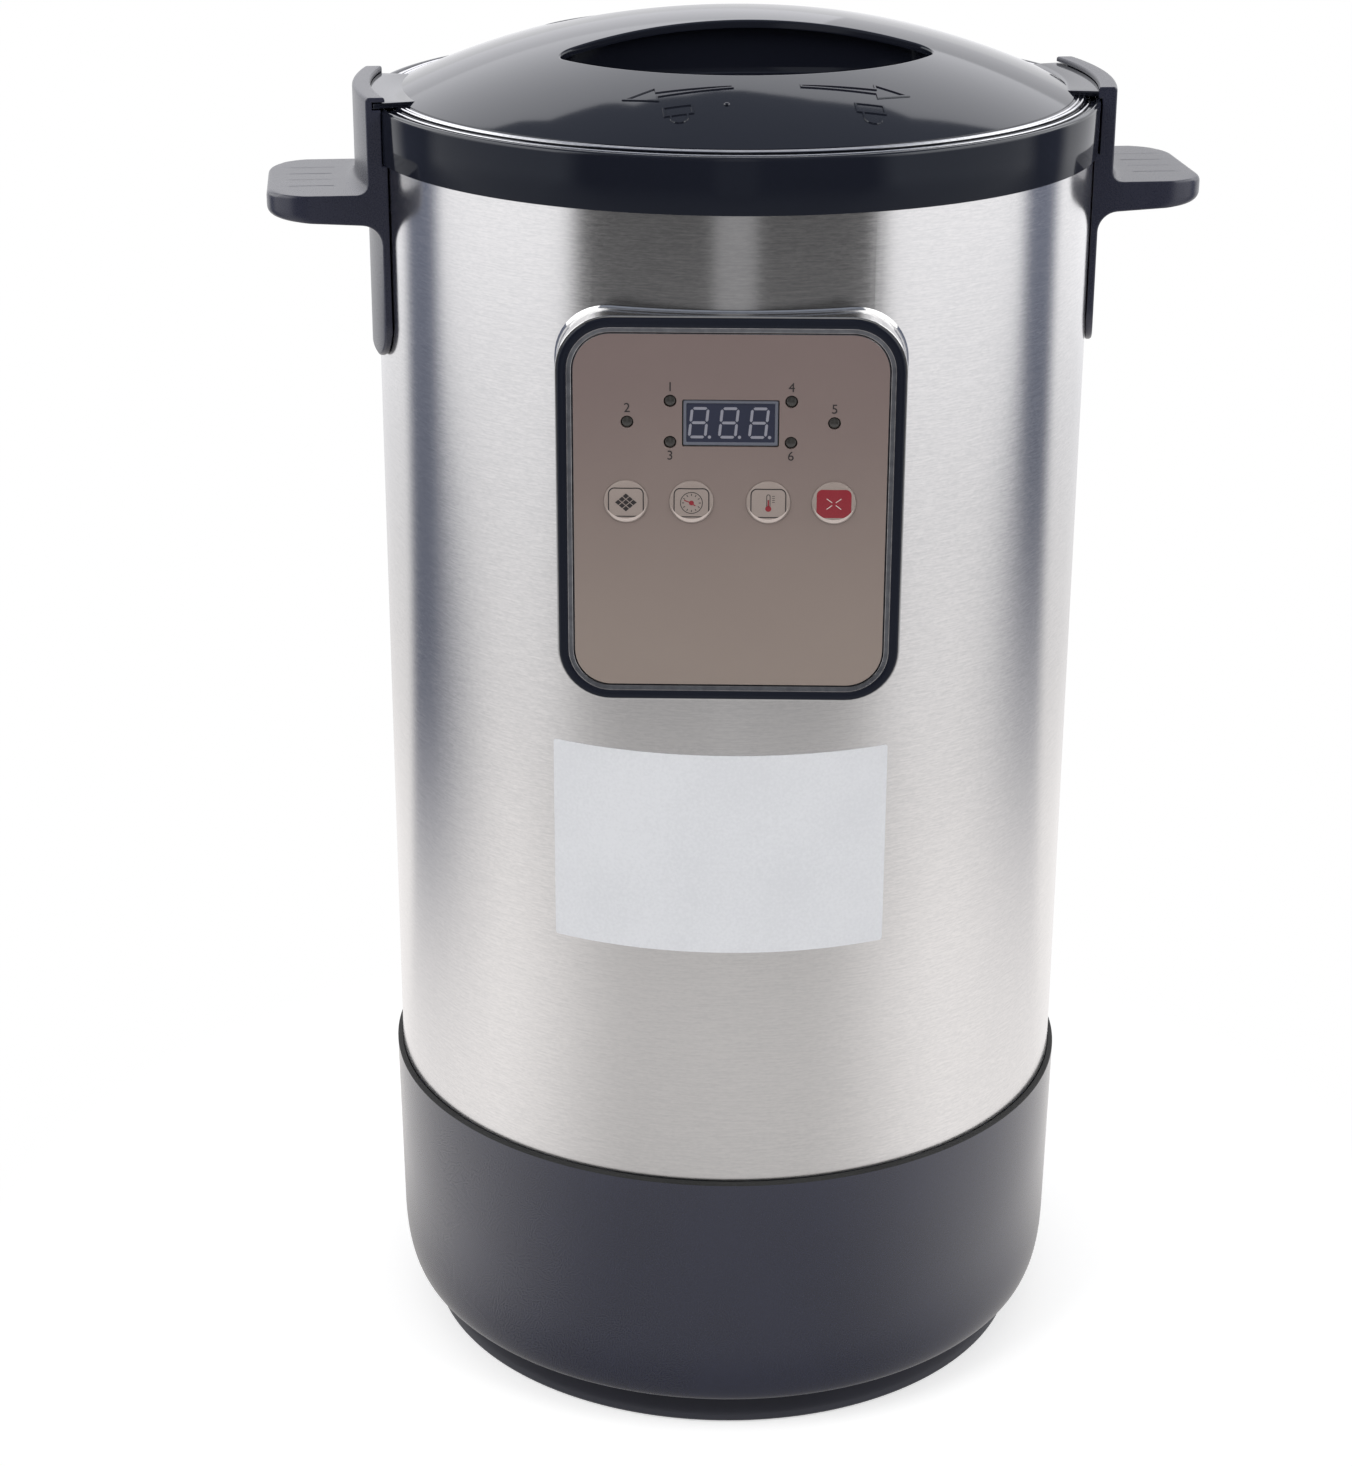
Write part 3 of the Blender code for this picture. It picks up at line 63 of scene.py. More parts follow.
# a socket in a node tree; arithmetic on it adds Math nodes
class Wire:
    def __init__(self, tree, socket):
        self.tree = tree
        self.socket = socket

    def node(self, kind, inputs=None, settings=None, out=0):
        made = self.tree.nodes.new(kind)
        for name, value in (settings or {}).items():
            setattr(made, name, value)
        for name, value in (inputs or {}).items():
            if isinstance(value, Wire):
                self.tree.links.new(value.socket, made.inputs[name])
            else:
                made.inputs[name].default_value = value
        return Wire(self.tree, made.outputs[out])

    def maths(self, operation, *values):
        return self.node("ShaderNodeMath", dict(enumerate(values)), {"operation": operation})

    def __add__(self, other):
        return self.maths("ADD", self, other)

    def __radd__(self, other):
        return self.maths("ADD", other, self)

    def __sub__(self, other):
        return self.maths("SUBTRACT", self, other)

    def __rsub__(self, other):
        return self.maths("SUBTRACT", other, self)

    def __mul__(self, other):
        return self.maths("MULTIPLY", self, other)

    def __truediv__(self, other):
        return self.maths("DIVIDE", self, other)

    def __neg__(self):
        return self.maths("MULTIPLY", self, -1.0)

    def wave(self):
        return self.maths("SINE", self)

    def ramp(self, low, high, start=0.0, end=1.0):
        ends = {"Value": self, "From Min": low, "From Max": high, "To Min": start, "To Max": end}
        return self.node("ShaderNodeMapRange", ends, {"interpolation_type": "SMOOTHSTEP"})

    def blend(self, dark, light):   # this socket is the factor between two colours
        return self.node("ShaderNodeMix", {0: self, 6: rgba(dark), 7: rgba(light)}, {"data_type": "RGBA"}, 2)

    def stretched(self, x, y, z):
        return self.node("ShaderNodeVectorMath", {0: self, 1: (x, y, z)}, {"operation": "MULTIPLY"})

    def reach(self):   # distance from the Z axis
        return self.node("ShaderNodeVectorMath", {0: self.stretched(1.0, 1.0, 0.0)}, {"operation": "LENGTH"}, "Value")

    def noise(self, scale=1.0, detail=2.0):
        return self.node("ShaderNodeTexNoise", {"Vector": self, "Scale": scale, "Detail": detail})

    def axis(self, index):
        return self.node("ShaderNodeSeparateXYZ", {0: self}, None, index)

    def bump(self, strength, distance):
        return self.node("ShaderNodeBump", {"Strength": strength, "Distance": distance, "Height": self})


def rgba(colour):
    return colour if isinstance(colour, Wire) else (*colour, 1.0)


def newFinish(name, fixed):
    material = bpy.data.materials.new(name)
    material.use_nodes = True
    tree = material.node_tree
    for socket, value in fixed.items():
        tree.nodes["Principled BSDF"].inputs[socket].default_value = value
    return material, Wire(tree, tree.nodes.new("ShaderNodeTexCoord").outputs["Object"])


def wear(material, colour, rough=None, normal=None):
    for name, wire in (("Base Color", colour), ("Roughness", rough), ("Normal", normal)):
        if wire:
            wire.tree.links.new(wire.socket, wire.tree.nodes["Principled BSDF"].inputs[name])
    return material


def brushedSteel(across=130.0, up=2300.0):   # grain lies round the barrel, so it is long in x and y and short in z
    material, here = newFinish("brushedSteel", {"Metallic": 1.0, "Anisotropic": 0.75, "Anisotropic Rotation": 0.25})
    lines = here.stretched(across, across, up).noise(1.0, 3.0)
    flecks = here.stretched(across * 4, across * 4, up * 0.7).noise(1.0, 2.0)
    tone = lines * 0.45 + flecks * 0.4 + here.noise(11.0, 2.0) * 0.15
    return wear(material, tone.ramp(0.32, 0.68).blend((0.70, 0.695, 0.695), (0.80, 0.79, 0.785)),
                lines * 0.07 + flecks * 0.05 + 0.13, (lines * 0.6 + flecks * 0.4).bump(0.02, 0.0002))


def moulding(name, dark, light, rough, grain, depth, coat=0.0, level=0.5):
    material, here = newFinish(name, {"Specular IOR Level": level, "Coat Weight": coat, "Coat Roughness": 0.08})
    spark, cloud = here.noise(grain, 3.0), here.noise(26.0, 2.0)
    return wear(material, (spark * 0.5 + cloud * 0.5).ramp(0.35, 0.65).blend(dark, light),
                spark * 0.10 + cloud * 0.06 + (rough - 0.08), spark.bump(depth, 0.0001))


def glossBlack(name, level, cool=(0.92, 0.96, 1.0)):
    material, here = newFinish(name, {"IOR": 1.5, "Specular IOR Level": level, "Specular Tint": rgba(cool)})
    haze, dust = here.noise(14.0, 3.0), here.noise(1900.0, 1.0).ramp(0.70, 0.80)
    ripple = here.noise(60.0, 1.0).bump(0.012, 0.0004)
    return wear(material, haze.blend((0.0085, 0.0098, 0.0160), (0.0110, 0.0125, 0.0200)),
                haze * 0.05 + dust * 0.10 + 0.045, ripple)


def speckled(name, fixed, dark, light, scale, detail, spread, rough, ends=None):
    material, here = newFinish(name, fixed)
    spots = here.noise(scale, detail)
    return wear(material, (spots.ramp(*ends) if ends else spots).blend(dark, light), spots * spread + rough)


def plainMetal(name, dark, light, rough, metal=1.0, spread=0.12):
    return speckled(name, {"Metallic": metal}, dark, light, 420.0, 3.0, spread, rough, (0.3, 0.7))


def printInk(name, colour, rough=0.4):
    dark = [c * 0.86 for c in colour]
    return speckled(name, {"Specular IOR Level": 0.4}, dark, colour, 6000.0, 2.0, 0.1, rough, (0.3, 0.7))


# the film is painted darker at the top and lighter at the bottom: painted shade and light across the panel, between the
# heights low and high
film = dict(top=(0.228, 0.170, 0.160), bottom=(0.318, 0.258, 0.226), low=0.302, high=0.424)


def bronzeFilm():
    material, here = newFinish("bronzeFilm", {"Metallic": 0.25, "Coat Weight": 0.25, "Coat Roughness": 0.30})
    pearl = here.noise(5200.0, 2.0)
    # painted shade by height, from the lighter bottom to the darker top
    height = here.axis(2).ramp(film["low"], film["high"]) + here.noise(34.0, 2.0) * 0.2 - 0.1
    shine = pearl.ramp(0.3, 0.7).blend((0.94, 0.94, 0.94), (1.0, 1.0, 1.0))
    filmWithPaintedShade = pearl.node("ShaderNodeMix", {0: 1.0, 6: height.blend(film["bottom"], film["top"]), 7: shine},
                     {"data_type": "RGBA", "blend_type": "MULTIPLY"}, 2)
    return wear(material, filmWithPaintedShade, pearl * 0.12 + 0.36)


def boardResist():
    material, here = newFinish("boardResist", {"Coat Weight": 0.3})
    tracks = (here.axis(0) * 2600.0).wave() * (here.axis(1) * 2100.0).wave()
    green = tracks.ramp(0.2, 0.4).blend((0.015, 0.105, 0.045), (0.030, 0.190, 0.080))
    return wear(material, green, tracks * 0.05 + 0.40)


def camel(slot):
    first, *rest = slot.split("_")
    return first + "".join(word.title() for word in rest)


mouldings = {   # dark and light colour, roughness, grain and its depth, coat, specular level
    "base_plastic": ((0.0075, 0.0100, 0.0290), (0.0100, 0.0130, 0.0360), 0.28, 2600.0, 0.05, 0.5, 0.62),
    "ring_plastic": ((0.013, 0.014, 0.024), (0.017, 0.018, 0.030), 0.50, 2300.0, 0.10, 0.0, 0.40),
    "handle_black": ((0.017, 0.019, 0.036), (0.023, 0.025, 0.045), 0.28, 3000.0, 0.06, 0.0, 0.55),
    "button_plastic": ((0.285, 0.235, 0.212), (0.315, 0.262, 0.236), 0.44, 3800.0, 0.02, 0.0, 0.35),
    "rubber": ((0.014, 0.014, 0.014), (0.026, 0.026, 0.026), 0.80, 1500.0, 0.30),
    "silicone": ((0.56, 0.56, 0.54), (0.66, 0.66, 0.64), 0.50, 900.0, 0.05),
    "felt": ((0.42, 0.40, 0.36), (0.60, 0.58, 0.53), 0.95, 700.0, 0.60),
    "component_plastic": ((0.016, 0.016, 0.016), (0.026, 0.026, 0.026), 0.46, 2000.0, 0.10),
    "relay_plastic": ((0.025, 0.085, 0.30), (0.035, 0.115, 0.38), 0.40, 1800.0, 0.05),
    "ceramic": ((0.70, 0.68, 0.63), (0.78, 0.76, 0.71), 0.30, 1200.0, 0.03),
    "cable_insulation": ((0.26, 0.26, 0.28), (0.34, 0.34, 0.36), 0.48, 1600.0, 0.05)}
finishes = {slot: moulding(camel(slot), *values) for slot, values in mouldings.items()}
finishes.update({
    "brushed_steel": brushedSteel(), "gloss_black": glossBlack("glossBlack", 0.5),
    "bronze_film": bronzeFilm(), "circuit_board": boardResist(),
    "display_window": speckled("windowGlass", {"IOR": 1.5, "Coat Weight": 0.5}, (0.014, 0.017, 0.036),
                               (0.022, 0.026, 0.052), 60.0, 1.0, 0.04, 0.06),
    "lamp_plastic": speckled("smokedLens", {"IOR": 1.5, "Coat Weight": 0.4}, (0.020, 0.019, 0.018),
                             (0.055, 0.052, 0.048), 900.0, 2.0, 0.1, 0.10),
    "polished_steel": plainMetal("polishedSteel", (0.63, 0.63, 0.63), (0.68, 0.68, 0.68), 0.07, 1.0, 0.03),
    "aluminium": plainMetal("castAluminium", (0.60, 0.60, 0.62), (0.74, 0.74, 0.76), 0.34),
    "brass": plainMetal("plainBrass", (0.55, 0.40, 0.16), (0.68, 0.51, 0.22), 0.22),
    "transformer_iron": plainMetal("pottedCore", (0.016, 0.016, 0.016), (0.030, 0.030, 0.030), 0.50, 0.2)})
inkDark = printInk("inkDark", (0.030, 0.025, 0.026))
inkRed = printInk("inkRed", (0.27, 0.021, 0.032), 0.30)
# pale ink for the stop key's cross, also used to paint the buttons' highlight
paleInkAndHighlight = printInk("paleInkAndHighlight", (0.62, 0.53, 0.49))
segmentGrey = printInk("segmentGrey", (0.27, 0.27, 0.32), 0.25)
frameGrey = printInk("frameGrey", (0.135, 0.145, 0.180), 0.30)
edgeSilver = plainMetal("edgeSilver", (0.42, 0.41, 0.42), (0.55, 0.54, 0.55), 0.18)
edgeGrey = plainMetal("edgeGrey", (0.115, 0.120, 0.135), (0.150, 0.155, 0.172), 0.26, 0.6)
rimLine = plainMetal("rimLine", (0.62, 0.62, 0.64), (0.70, 0.70, 0.72), 0.05, 1.0, 0.03)
collarBlack = glossBlack("collarBlack", 0.20, (0.84, 0.92, 1.0))
labelFilm = moulding("labelFilm", (0.70, 0.71, 0.74), (0.76, 0.77, 0.80), 0.36, 900.0, 0.01)
print("finishes made,", len(bpy.data.materials))


# mesh helpers
def makePiece(name, verts, faces, materials, sharp=32.0, which=None):
    mesh = bpy.data.meshes.new(name)
    mesh.from_pydata([tuple(v) for v in verts], [], faces)
    for material in materials:
        mesh.materials.append(material)
    if which:
        mesh.polygons.foreach_set("material_index", which)
    bm = bmesh.new()
    bm.from_mesh(mesh)
    bmesh.ops.remove_doubles(bm, verts=bm.verts, dist=2e-7)
    bmesh.ops.recalc_face_normals(bm, faces=bm.faces)
    bm.to_mesh(mesh)
    bm.free()
    mesh.shade_smooth()
    mesh.set_sharp_from_angle(angle=radians(sharp))
    for face in mesh.polygons:   # end caps are flat
        face.use_smooth = len(face.vertices) < 5
    return inScene(name, mesh)


def inScene(name, data):
    made = bpy.data.objects.new(name, data)
    scene.collection.objects.link(made)
    return made


def joined(*shapes):   # several (verts, faces) lists as one
    verts, faces = [], []
    for shapeVerts, shapeFaces in shapes:
        faces += [[len(verts) + i for i in face] for face in shapeFaces]
        verts += list(shapeVerts)
    return verts, faces


def moved(shape, matrix):
    return [matrix @ Vector(v) for v in shape[0]], shape[1]


def arcPoints(centre, radius, start, end, steps):
    angles = [start + (end - start) * i / steps for i in range(steps + 1)]
    return [(centre[0] + radius * cos(a), centre[1] + radius * sin(a)) for a in angles]


def disc(x, y, radius, count=24):
    return [(x + radius * cos(2 * pi * k / count), y + radius * sin(2 * pi * k / count)) for k in range(count)]


def quarter(steps, first=0):   # a rounded edge, as shares in from one face and back from the other
    return [(1 - cos(a), 1 - sin(a)) for a in [pi / 2 * k / steps for k in range(first, steps + 1)]]


def layers(outline, at, depths):
    return [[at(x, y, w) for x, y in outline] for w in depths]


def upright(x, y, z):
    return Vector((x, y, z))


def roundCorners(points, radii, steps):   # closed outline, each corner turned into an arc of a fixed number of points
    result = []
    for i, corner in enumerate(points):
        here = Vector(corner)
        back, onward = Vector(points[i - 1]) - here, Vector(points[(i + 1) % len(points)]) - here
        if steps[i] == 0:
            result.append(tuple(here))
            continue
        turn = back.angle(onward)
        middle = back.normalized() + onward.normalized()
        if middle.length < 1e-6:
            result += [tuple(here)] * (steps[i] + 1)
            continue
        reach = min(radii[i] / tan(turn / 2), 0.49 * back.length, 0.49 * onward.length)
        centre = here + middle.normalized() * (reach * tan(turn / 2) / sin(turn / 2))
        first, last = here + back.normalized() * reach - centre, here + onward.normalized() * reach - centre
        sweep = first.angle_signed(last)
        for k in range(steps[i] + 1):
            a = -sweep * k / steps[i]
            result.append((centre.x + first.x * cos(a) - first.y * sin(a),
                           centre.y + first.x * sin(a) + first.y * cos(a)))
    return result


def turned(profile, segments, closed=True):   # profile of (radius, height) round the Z axis
    verts, faces = [], []
    count = len(profile)
    for s in range(segments):
        a = 2 * pi * s / segments
        this, after = s * count, ((s + 1) % segments) * count
        verts += [(r * cos(a), r * sin(a), z) for r, z in profile]
        faces += [[this + i, after + i, after + (i + 1) % count, this + (i + 1) % count]
                  for i in range(count if closed else count - 1)]
    return verts, faces


def loopStack(loops, capFirst=True, capLast=True, wrap=False):   # skin over loops of equal length
    count, last = len(loops[0]), len(loops) - 1
    faces = []
    for a in range(last + wrap):
        b = (a + 1) % len(loops)
        for i in range(count):
            j = (i + 1) % count
            faces.append([a * count + i, a * count + j, b * count + j, b * count + i])
    if capFirst and not wrap:
        faces.append(list(range(count))[::-1])
    if capLast and not wrap:
        faces.append([last * count + i for i in range(count)])
    return [p for loop in loops for p in loop], faces


def tube(loops):
    return loopStack(loops, False, False)


def roundRect(width, height, radius, corner=10, side=1):   # long sides can get extra points, to follow the barrel
    x, y = width / 2 - radius, height / 2 - radius
    points = []
    for cx, cy, start in ((x, y, 0.0), (-x, y, pi / 2), (-x, -y, pi), (x, -y, 3 * pi / 2)):
        points += arcPoints((cx, cy), radius, start, start + pi / 2, corner)
    result = []
    for i, point in enumerate(points):
        result.append(point)
        if i % (corner + 1) == corner:
            a, b = Vector(point), Vector(points[(i + 1) % len(points)])
            result += [tuple(a.lerp(b, k / side)) for k in range(1, side)]
    return result


def inset(points, amount):   # closed outline moved inwards, corner by corner
    count = len(points)
    area = sum(points[i - 1][0] * points[i][1] - points[i][0] * points[i - 1][1] for i in range(count))
    way = 1.0 if area > 0 else -1.0

    def heading(i, step):   # towards the nearest point that differs
        k = step
        while (Vector(points[(i + k) % count]) - Vector(points[i])).length < 1e-7:
            k += step
        return (Vector(points[(i + k) % count]) - Vector(points[i])).normalized()

    result = []
    for i, point in enumerate(points):
        before, after = -heading(i, -1), heading(i, 1)
        side = Vector((-before.y - after.y, before.x + after.x)) * way
        if side.length > 1e-6:
            side.normalize()
            side *= amount / max(0.5, side.dot(Vector((-before.y, before.x)) * way))
            point = tuple(Vector(point) + side)
        result.append(point)
    return result


def applyAll(piece):
    bpy.context.view_layer.update()
    plain = bpy.data.meshes.new_from_object(piece.evaluated_get(bpy.context.evaluated_depsgraph_get()))
    piece.modifiers.clear()
    piece.data = plain
    plain.shade_smooth()
    plain.set_sharp_from_angle(angle=radians(32.0))


def dropTemplate(template):
    bpy.data.objects.remove(template, do_unlink=True)


def combine(piece, operation, *shapes):   # boolean steps, applied
    for verts, faces in shapes:
        tool = makePiece("tool", verts, faces, [])
        step = piece.modifiers.new("step", "BOOLEAN")
        step.operation, step.solver, step.object = operation, "EXACT", tool
        applyAll(piece)
        dropTemplate(tool)


def seat(piece, body, slotName, *nodes):
    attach(piece, body)
    if nodes:
        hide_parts(*nodes)


def numbered(name, count):
    return [f"{name}_{k}" for k in range(1, count + 1)]


def contains(loop, spot):
    inside = False
    x, y = spot
    for i in range(len(loop)):
        (xa, ya), (xb, yb) = loop[i - 1], loop[i]
        if (ya > y) != (yb > y) and x < xa + (y - ya) / (yb - ya) * (xb - xa):
            inside = not inside
    return inside


def flatMesh(outline, holes, spacing, depth):   # triangles between an outline and its holes; depth gives the third axis
    inside = lambda spot: contains(outline, spot) and not any(contains(h, spot) for h in holes)
    points, edges = [], []
    for loop in [outline] + holes:
        start = len(points)
        points += [Vector(p) for p in loop]
        edges += [(start + i, start + (i + 1) % len(loop)) for i in range(len(loop))]
    if spacing:
        xs, ys = [p[0] for p in outline], [p[1] for p in outline]
        border = list(points)
        y, row = min(ys), 0
        while y < max(ys):
            x = min(xs) + (spacing / 2 if row % 2 else 0.0)
            while x < max(xs):
                spot = Vector((x, y))
                if inside(spot) and min((spot - e).length_squared for e in border) > (spacing * 0.5) ** 2:
                    points.append(spot)
                x += spacing
            y += spacing * 0.866
            row += 1
    flat, _, tris, *_ = delaunay_2d_cdt(points, edges, [], 0, 1e-9)
    middle = lambda tri: sum((flat[i] for i in tri), Vector((0.0, 0.0))) / 3
    return [depth(p.x, p.y) for p in flat], [list(tri) for tri in tris if inside(middle(tri))]


def thinSheet(outline, spacing, top, low):   # closed sheet between two surfaces
    side = tube([[low(*p) for p in outline], [top(*p) for p in outline]])
    return joined(flatMesh(outline, [], spacing, top), flatMesh(outline, [], spacing, low), side)


# node trees for what repeats
def newTree(name, inputs):
    tree = bpy.data.node_groups.new(name, "GeometryNodeTree")
    for label, kind in {"Geometry": "Geometry", **inputs}.items():
        tree.interface.new_socket(label, in_out="INPUT", socket_type="NodeSocket" + kind)
    tree.interface.new_socket("Geometry", in_out="OUTPUT", socket_type="NodeSocketGeometry")
    entry = tree.nodes.new("NodeGroupInput")
    return tree, {socket.name: Wire(tree, socket) for socket in entry.outputs if socket.name}


def endTree(tree, result, finishWire):
    real = result.node("GeometryNodeRealizeInstances", {0: result})
    done = real.node("GeometryNodeSetMaterial", {"Geometry": real, "Material": finishWire})
    tree.links.new(done.socket, tree.nodes.new("NodeGroupOutput").inputs[0])
    return tree


def ringTree():   # a piece repeated round a circle, each one turned to face out
    tree, given = newTree("piecesOnRing", {"Piece": "Object", "Count": "Int", "Ring Radius": "Float",
                                           "Start Angle": "Float", "Height": "Float", "Finish": "Material"})
    count, start, add = given["Count"], given["Start Angle"], given["Count"].node
    upwards = lambda wire: add("ShaderNodeCombineXYZ", {2: wire})
    circle = add("GeometryNodeMeshCircle", {"Vertices": count, "Radius": given["Ring Radius"]})
    placed = add("GeometryNodeTransform", {"Geometry": circle, "Translation": upwards(given["Height"]),
                                           "Rotation": upwards(start)})
    turn = upwards(add("GeometryNodeInputIndex") * (2 * pi) / count + start)
    source = add("GeometryNodeObjectInfo", {"Object": given["Piece"]}, None, "Geometry")
    spread = add("GeometryNodeInstanceOnPoints", {"Points": placed, "Instance": source, "Rotation": turn})
    return endTree(tree, spread, given["Finish"])


def pointTree():   # a piece repeated on every vertex of the mesh it is given
    tree, given = newTree("piecesOnPoints", {"Piece": "Object", "Finish": "Material"})
    add = given["Piece"].node
    source = add("GeometryNodeObjectInfo", {"Object": given["Piece"]}, None, "Geometry")
    spread = add("GeometryNodeInstanceOnPoints", {"Points": given["Geometry"], "Instance": source})
    return endTree(tree, spread, given["Finish"])


def slotTree():   # a row of slots cut through the mesh it is given
    tree, given = newTree("slotRow", {"Slot": "Object", "Count": "Int", "Pitch": "Float", "Finish": "Material"})
    count, pitch, add = given["Count"], given["Pitch"], given["Count"].node
    along = lambda wire: add("ShaderNodeCombineXYZ", {0: wire})
    row = add("GeometryNodeMeshLine", {"Count": count, "Start Location": along((count - 1) * pitch * -0.5),
                                       "Offset": along(pitch)}, {"mode": "OFFSET"})
    source = add("GeometryNodeObjectInfo", {"Object": given["Slot"]}, None, "Geometry")
    spread = add("GeometryNodeInstanceOnPoints", {"Points": row, "Instance": source})
    real = add("GeometryNodeRealizeInstances", {0: spread})
    cut = add("GeometryNodeMeshBoolean", {"Mesh 1": given["Geometry"], "Mesh 2": real},
              {"operation": "DIFFERENCE", "solver": "EXACT"})
    return endTree(tree, cut, given["Finish"])


def runTree(piece, tree, values):
    step = piece.modifiers.new(tree.name, "NODES")
    step.node_group = tree
    for item in tree.interface.items_tree:
        if item.in_out == "INPUT" and item.name in values:
            step[item.identifier] = values[item.name]
    applyAll(piece)


ringPieces, pointPieces, slotRow = ringTree(), pointTree(), slotTree()
clearance = 0.0003   # between neighbouring pieces

# barrel, with the window behind the panel
barrel = dict(radius=0.1278, wall=0.0008, low=0.1013, high=0.4734, segments=288, windowWidth=0.0957,
              windowHeight=0.1132, windowCorner=0.0082)
panel = dict(width=0.1111, height=0.1286, centre=0.3627, front=0.1329, corner=0.0165, rim=0.0037, flangeSpread=0.0026,
             seatRadius=0.1281, ledge=0.0040, plateFront=0.1323, plateThick=0.0012, face=0.0010, band=-0.0021,
             trim=0.0006, edge=0.0009)


def onPanel(u, v, w):   # across, up and out of the panel
    return Vector((u, -w, panel["centre"] + v))


def barrelSkin():
    b = barrel
    r, inner = b["radius"], b["radius"] - b["wall"]
    profile = [(r, b["low"]), (r, b["high"]), (inner, b["high"]), (inner, b["low"])]
    skin = makePiece("barrelSkin", *turned(profile, b["segments"]), [finishes["brushed_steel"]])
    hole = roundRect(b["windowWidth"], b["windowHeight"], b["windowCorner"], 5)
    combine(skin, "DIFFERENCE", loopStack(layers(hole, onPanel, (0.09, 0.14))))
    seat(skin, "housing", "brushed_steel", "barrel")


barrelSkin()

# base shell, with the flat pad behind for the inlet
base = dict(rim=0.1299, height=0.1100, side=0.1290, sideLow=0.0420, bottom=0.1214, low=0.0141, power=2.4, corner=22,
            wall=0.0028, seat=0.1013, ledge=0.0022, bore=0.0943, flange=0.0028, seam=0.0008, segments=240)
inlet = dict(z=0.0600, flangeX=0.0340, flangeZ=0.0260, thick=0.0025, front=0.1327, wellX=0.0238, wellZ=0.0165,
             wellDepth=0.0170, bodyX=0.0268, bodyZ=0.0196, bodyDepth=0.0200, bodyCorner=0.0010, corner=0.0030,
             padX=0.0400, padZ=0.0320, padFront=0.1299, padDepth=0.0049)


def atBack(x, z, y):
    return Vector((-x, y, inlet["z"] + z))


def baseShell():
    b, i = base, inlet
    rim, top, bore, power = b["rim"], b["height"], barrel["radius"] + clearance, 2 / b["power"]
    straight = top - 0.0009
    outside = [(rim - 0.0006, top), (rim - 0.0002, top - 0.0002), (rim, top - 0.0006), (rim, straight)]
    for k in range(1, 6):   # a long straight side with a slight taper
        outside.append((rim + (b["side"] - rim) * k / 5, straight + (b["sideLow"] - straight) * k / 5))
    for k in range(1, b["corner"] + 1):
        a = pi / 2 * k / b["corner"]
        outside.append((b["bottom"] + (b["side"] - b["bottom"]) * cos(a) ** power,
                        b["sideLow"] - (b["sideLow"] - b["low"]) * sin(a) ** power))
    ledge, flange = barrel["radius"] - barrel["wall"] - b["ledge"], b["low"] + b["flange"]
    inside = [(b["bore"], b["low"]), (b["bore"], flange), (b["bottom"] - b["wall"], flange),
              (b["side"] - b["wall"] - b["ledge"] / 2, b["sideLow"]), (ledge, b["seat"] - b["ledge"]),
              (ledge, b["seat"]), (bore, b["seat"]), (bore, top)]
    shape = turned(outside + inside, b["segments"])
    shell = makePiece("baseShell", *shape, [finishes["base_plastic"], finishes["rubber"]])
    for face in shell.data.polygons:   # a dark seam where the barrel meets the base
        face.material_index = int(face.center.z > top - b["seam"])
    pad = []
    for grow, down in ((0.0012, i["padDepth"]), (0.0002, 0.0010), (0.0, 0.0006), (-0.0003, 0.0002), (-0.0009, 0.0)):
        outline = roundRect(i["padX"] + 2 * grow, i["padZ"] + 2 * grow, i["corner"] + grow, 6)
        pad += layers(outline, atBack, [i["padFront"] - down])
    combine(shell, "UNION", loopStack(pad))
    hole = roundRect(i["bodyX"] + 2 * clearance, i["bodyZ"] + 2 * clearance, i["bodyCorner"], 3)
    combine(shell, "DIFFERENCE", loopStack(layers(hole, atBack, (0.105, 0.140))))
    seat(shell, "housing", "base_plastic", "base_shell")


def inletBody():   # flange with a rounded edge, and the well for the lead's connector
    i = inlet
    c, narrow, thick, well = i["corner"], i["bodyCorner"], i["thick"], i["wellDepth"]
    loops = []
    for part, grow, corner, down in (
            ("body", 0.0, narrow, i["bodyDepth"]), ("body", 0.0, narrow, thick), ("flange", 0.0, c, thick),
            ("flange", 0.0, c, 0.0008), ("flange", -0.0004, c - 0.0002, 0.0003), ("flange", -0.0016, c - 0.0008, 0.0),
            ("well", 0.0012, c + 0.0006, 0.0), ("well", 0.0002, c, 0.0004), ("well", 0.0, c, 0.0012),
            ("well", 0.0, c, well - 0.0006), ("well", -0.0012, c - 0.0006, well)):
        outline = roundRect(i[part + "X"] + grow, i[part + "Z"] + grow, corner, 8)
        loops += layers(outline, atBack, [i["front"] - down])
    body = makePiece("inletBody", *loopStack(loops), [finishes["component_plastic"]])
    seat(body, "housing", "component_plastic", "power_inlet")


baseShell()
inletBody()

# foot ring with the vented floor, its feet and screws
ring = dict(radius=0.1172, inner=0.0993, low=0.0005, top=0.0138, floorLow=0.0135, floorTop=0.0161, spigot=0.0940,
            middle=0.10755, footRadius=0.0065, footTop=0.0024, wellRadius=0.0038, wellDepth=0.0047, screwHole=0.0018,
            ventWidth=0.0030, ventLength=0.0360, ventPitch=0.0080, ventCount=5, segments=200, count=4)


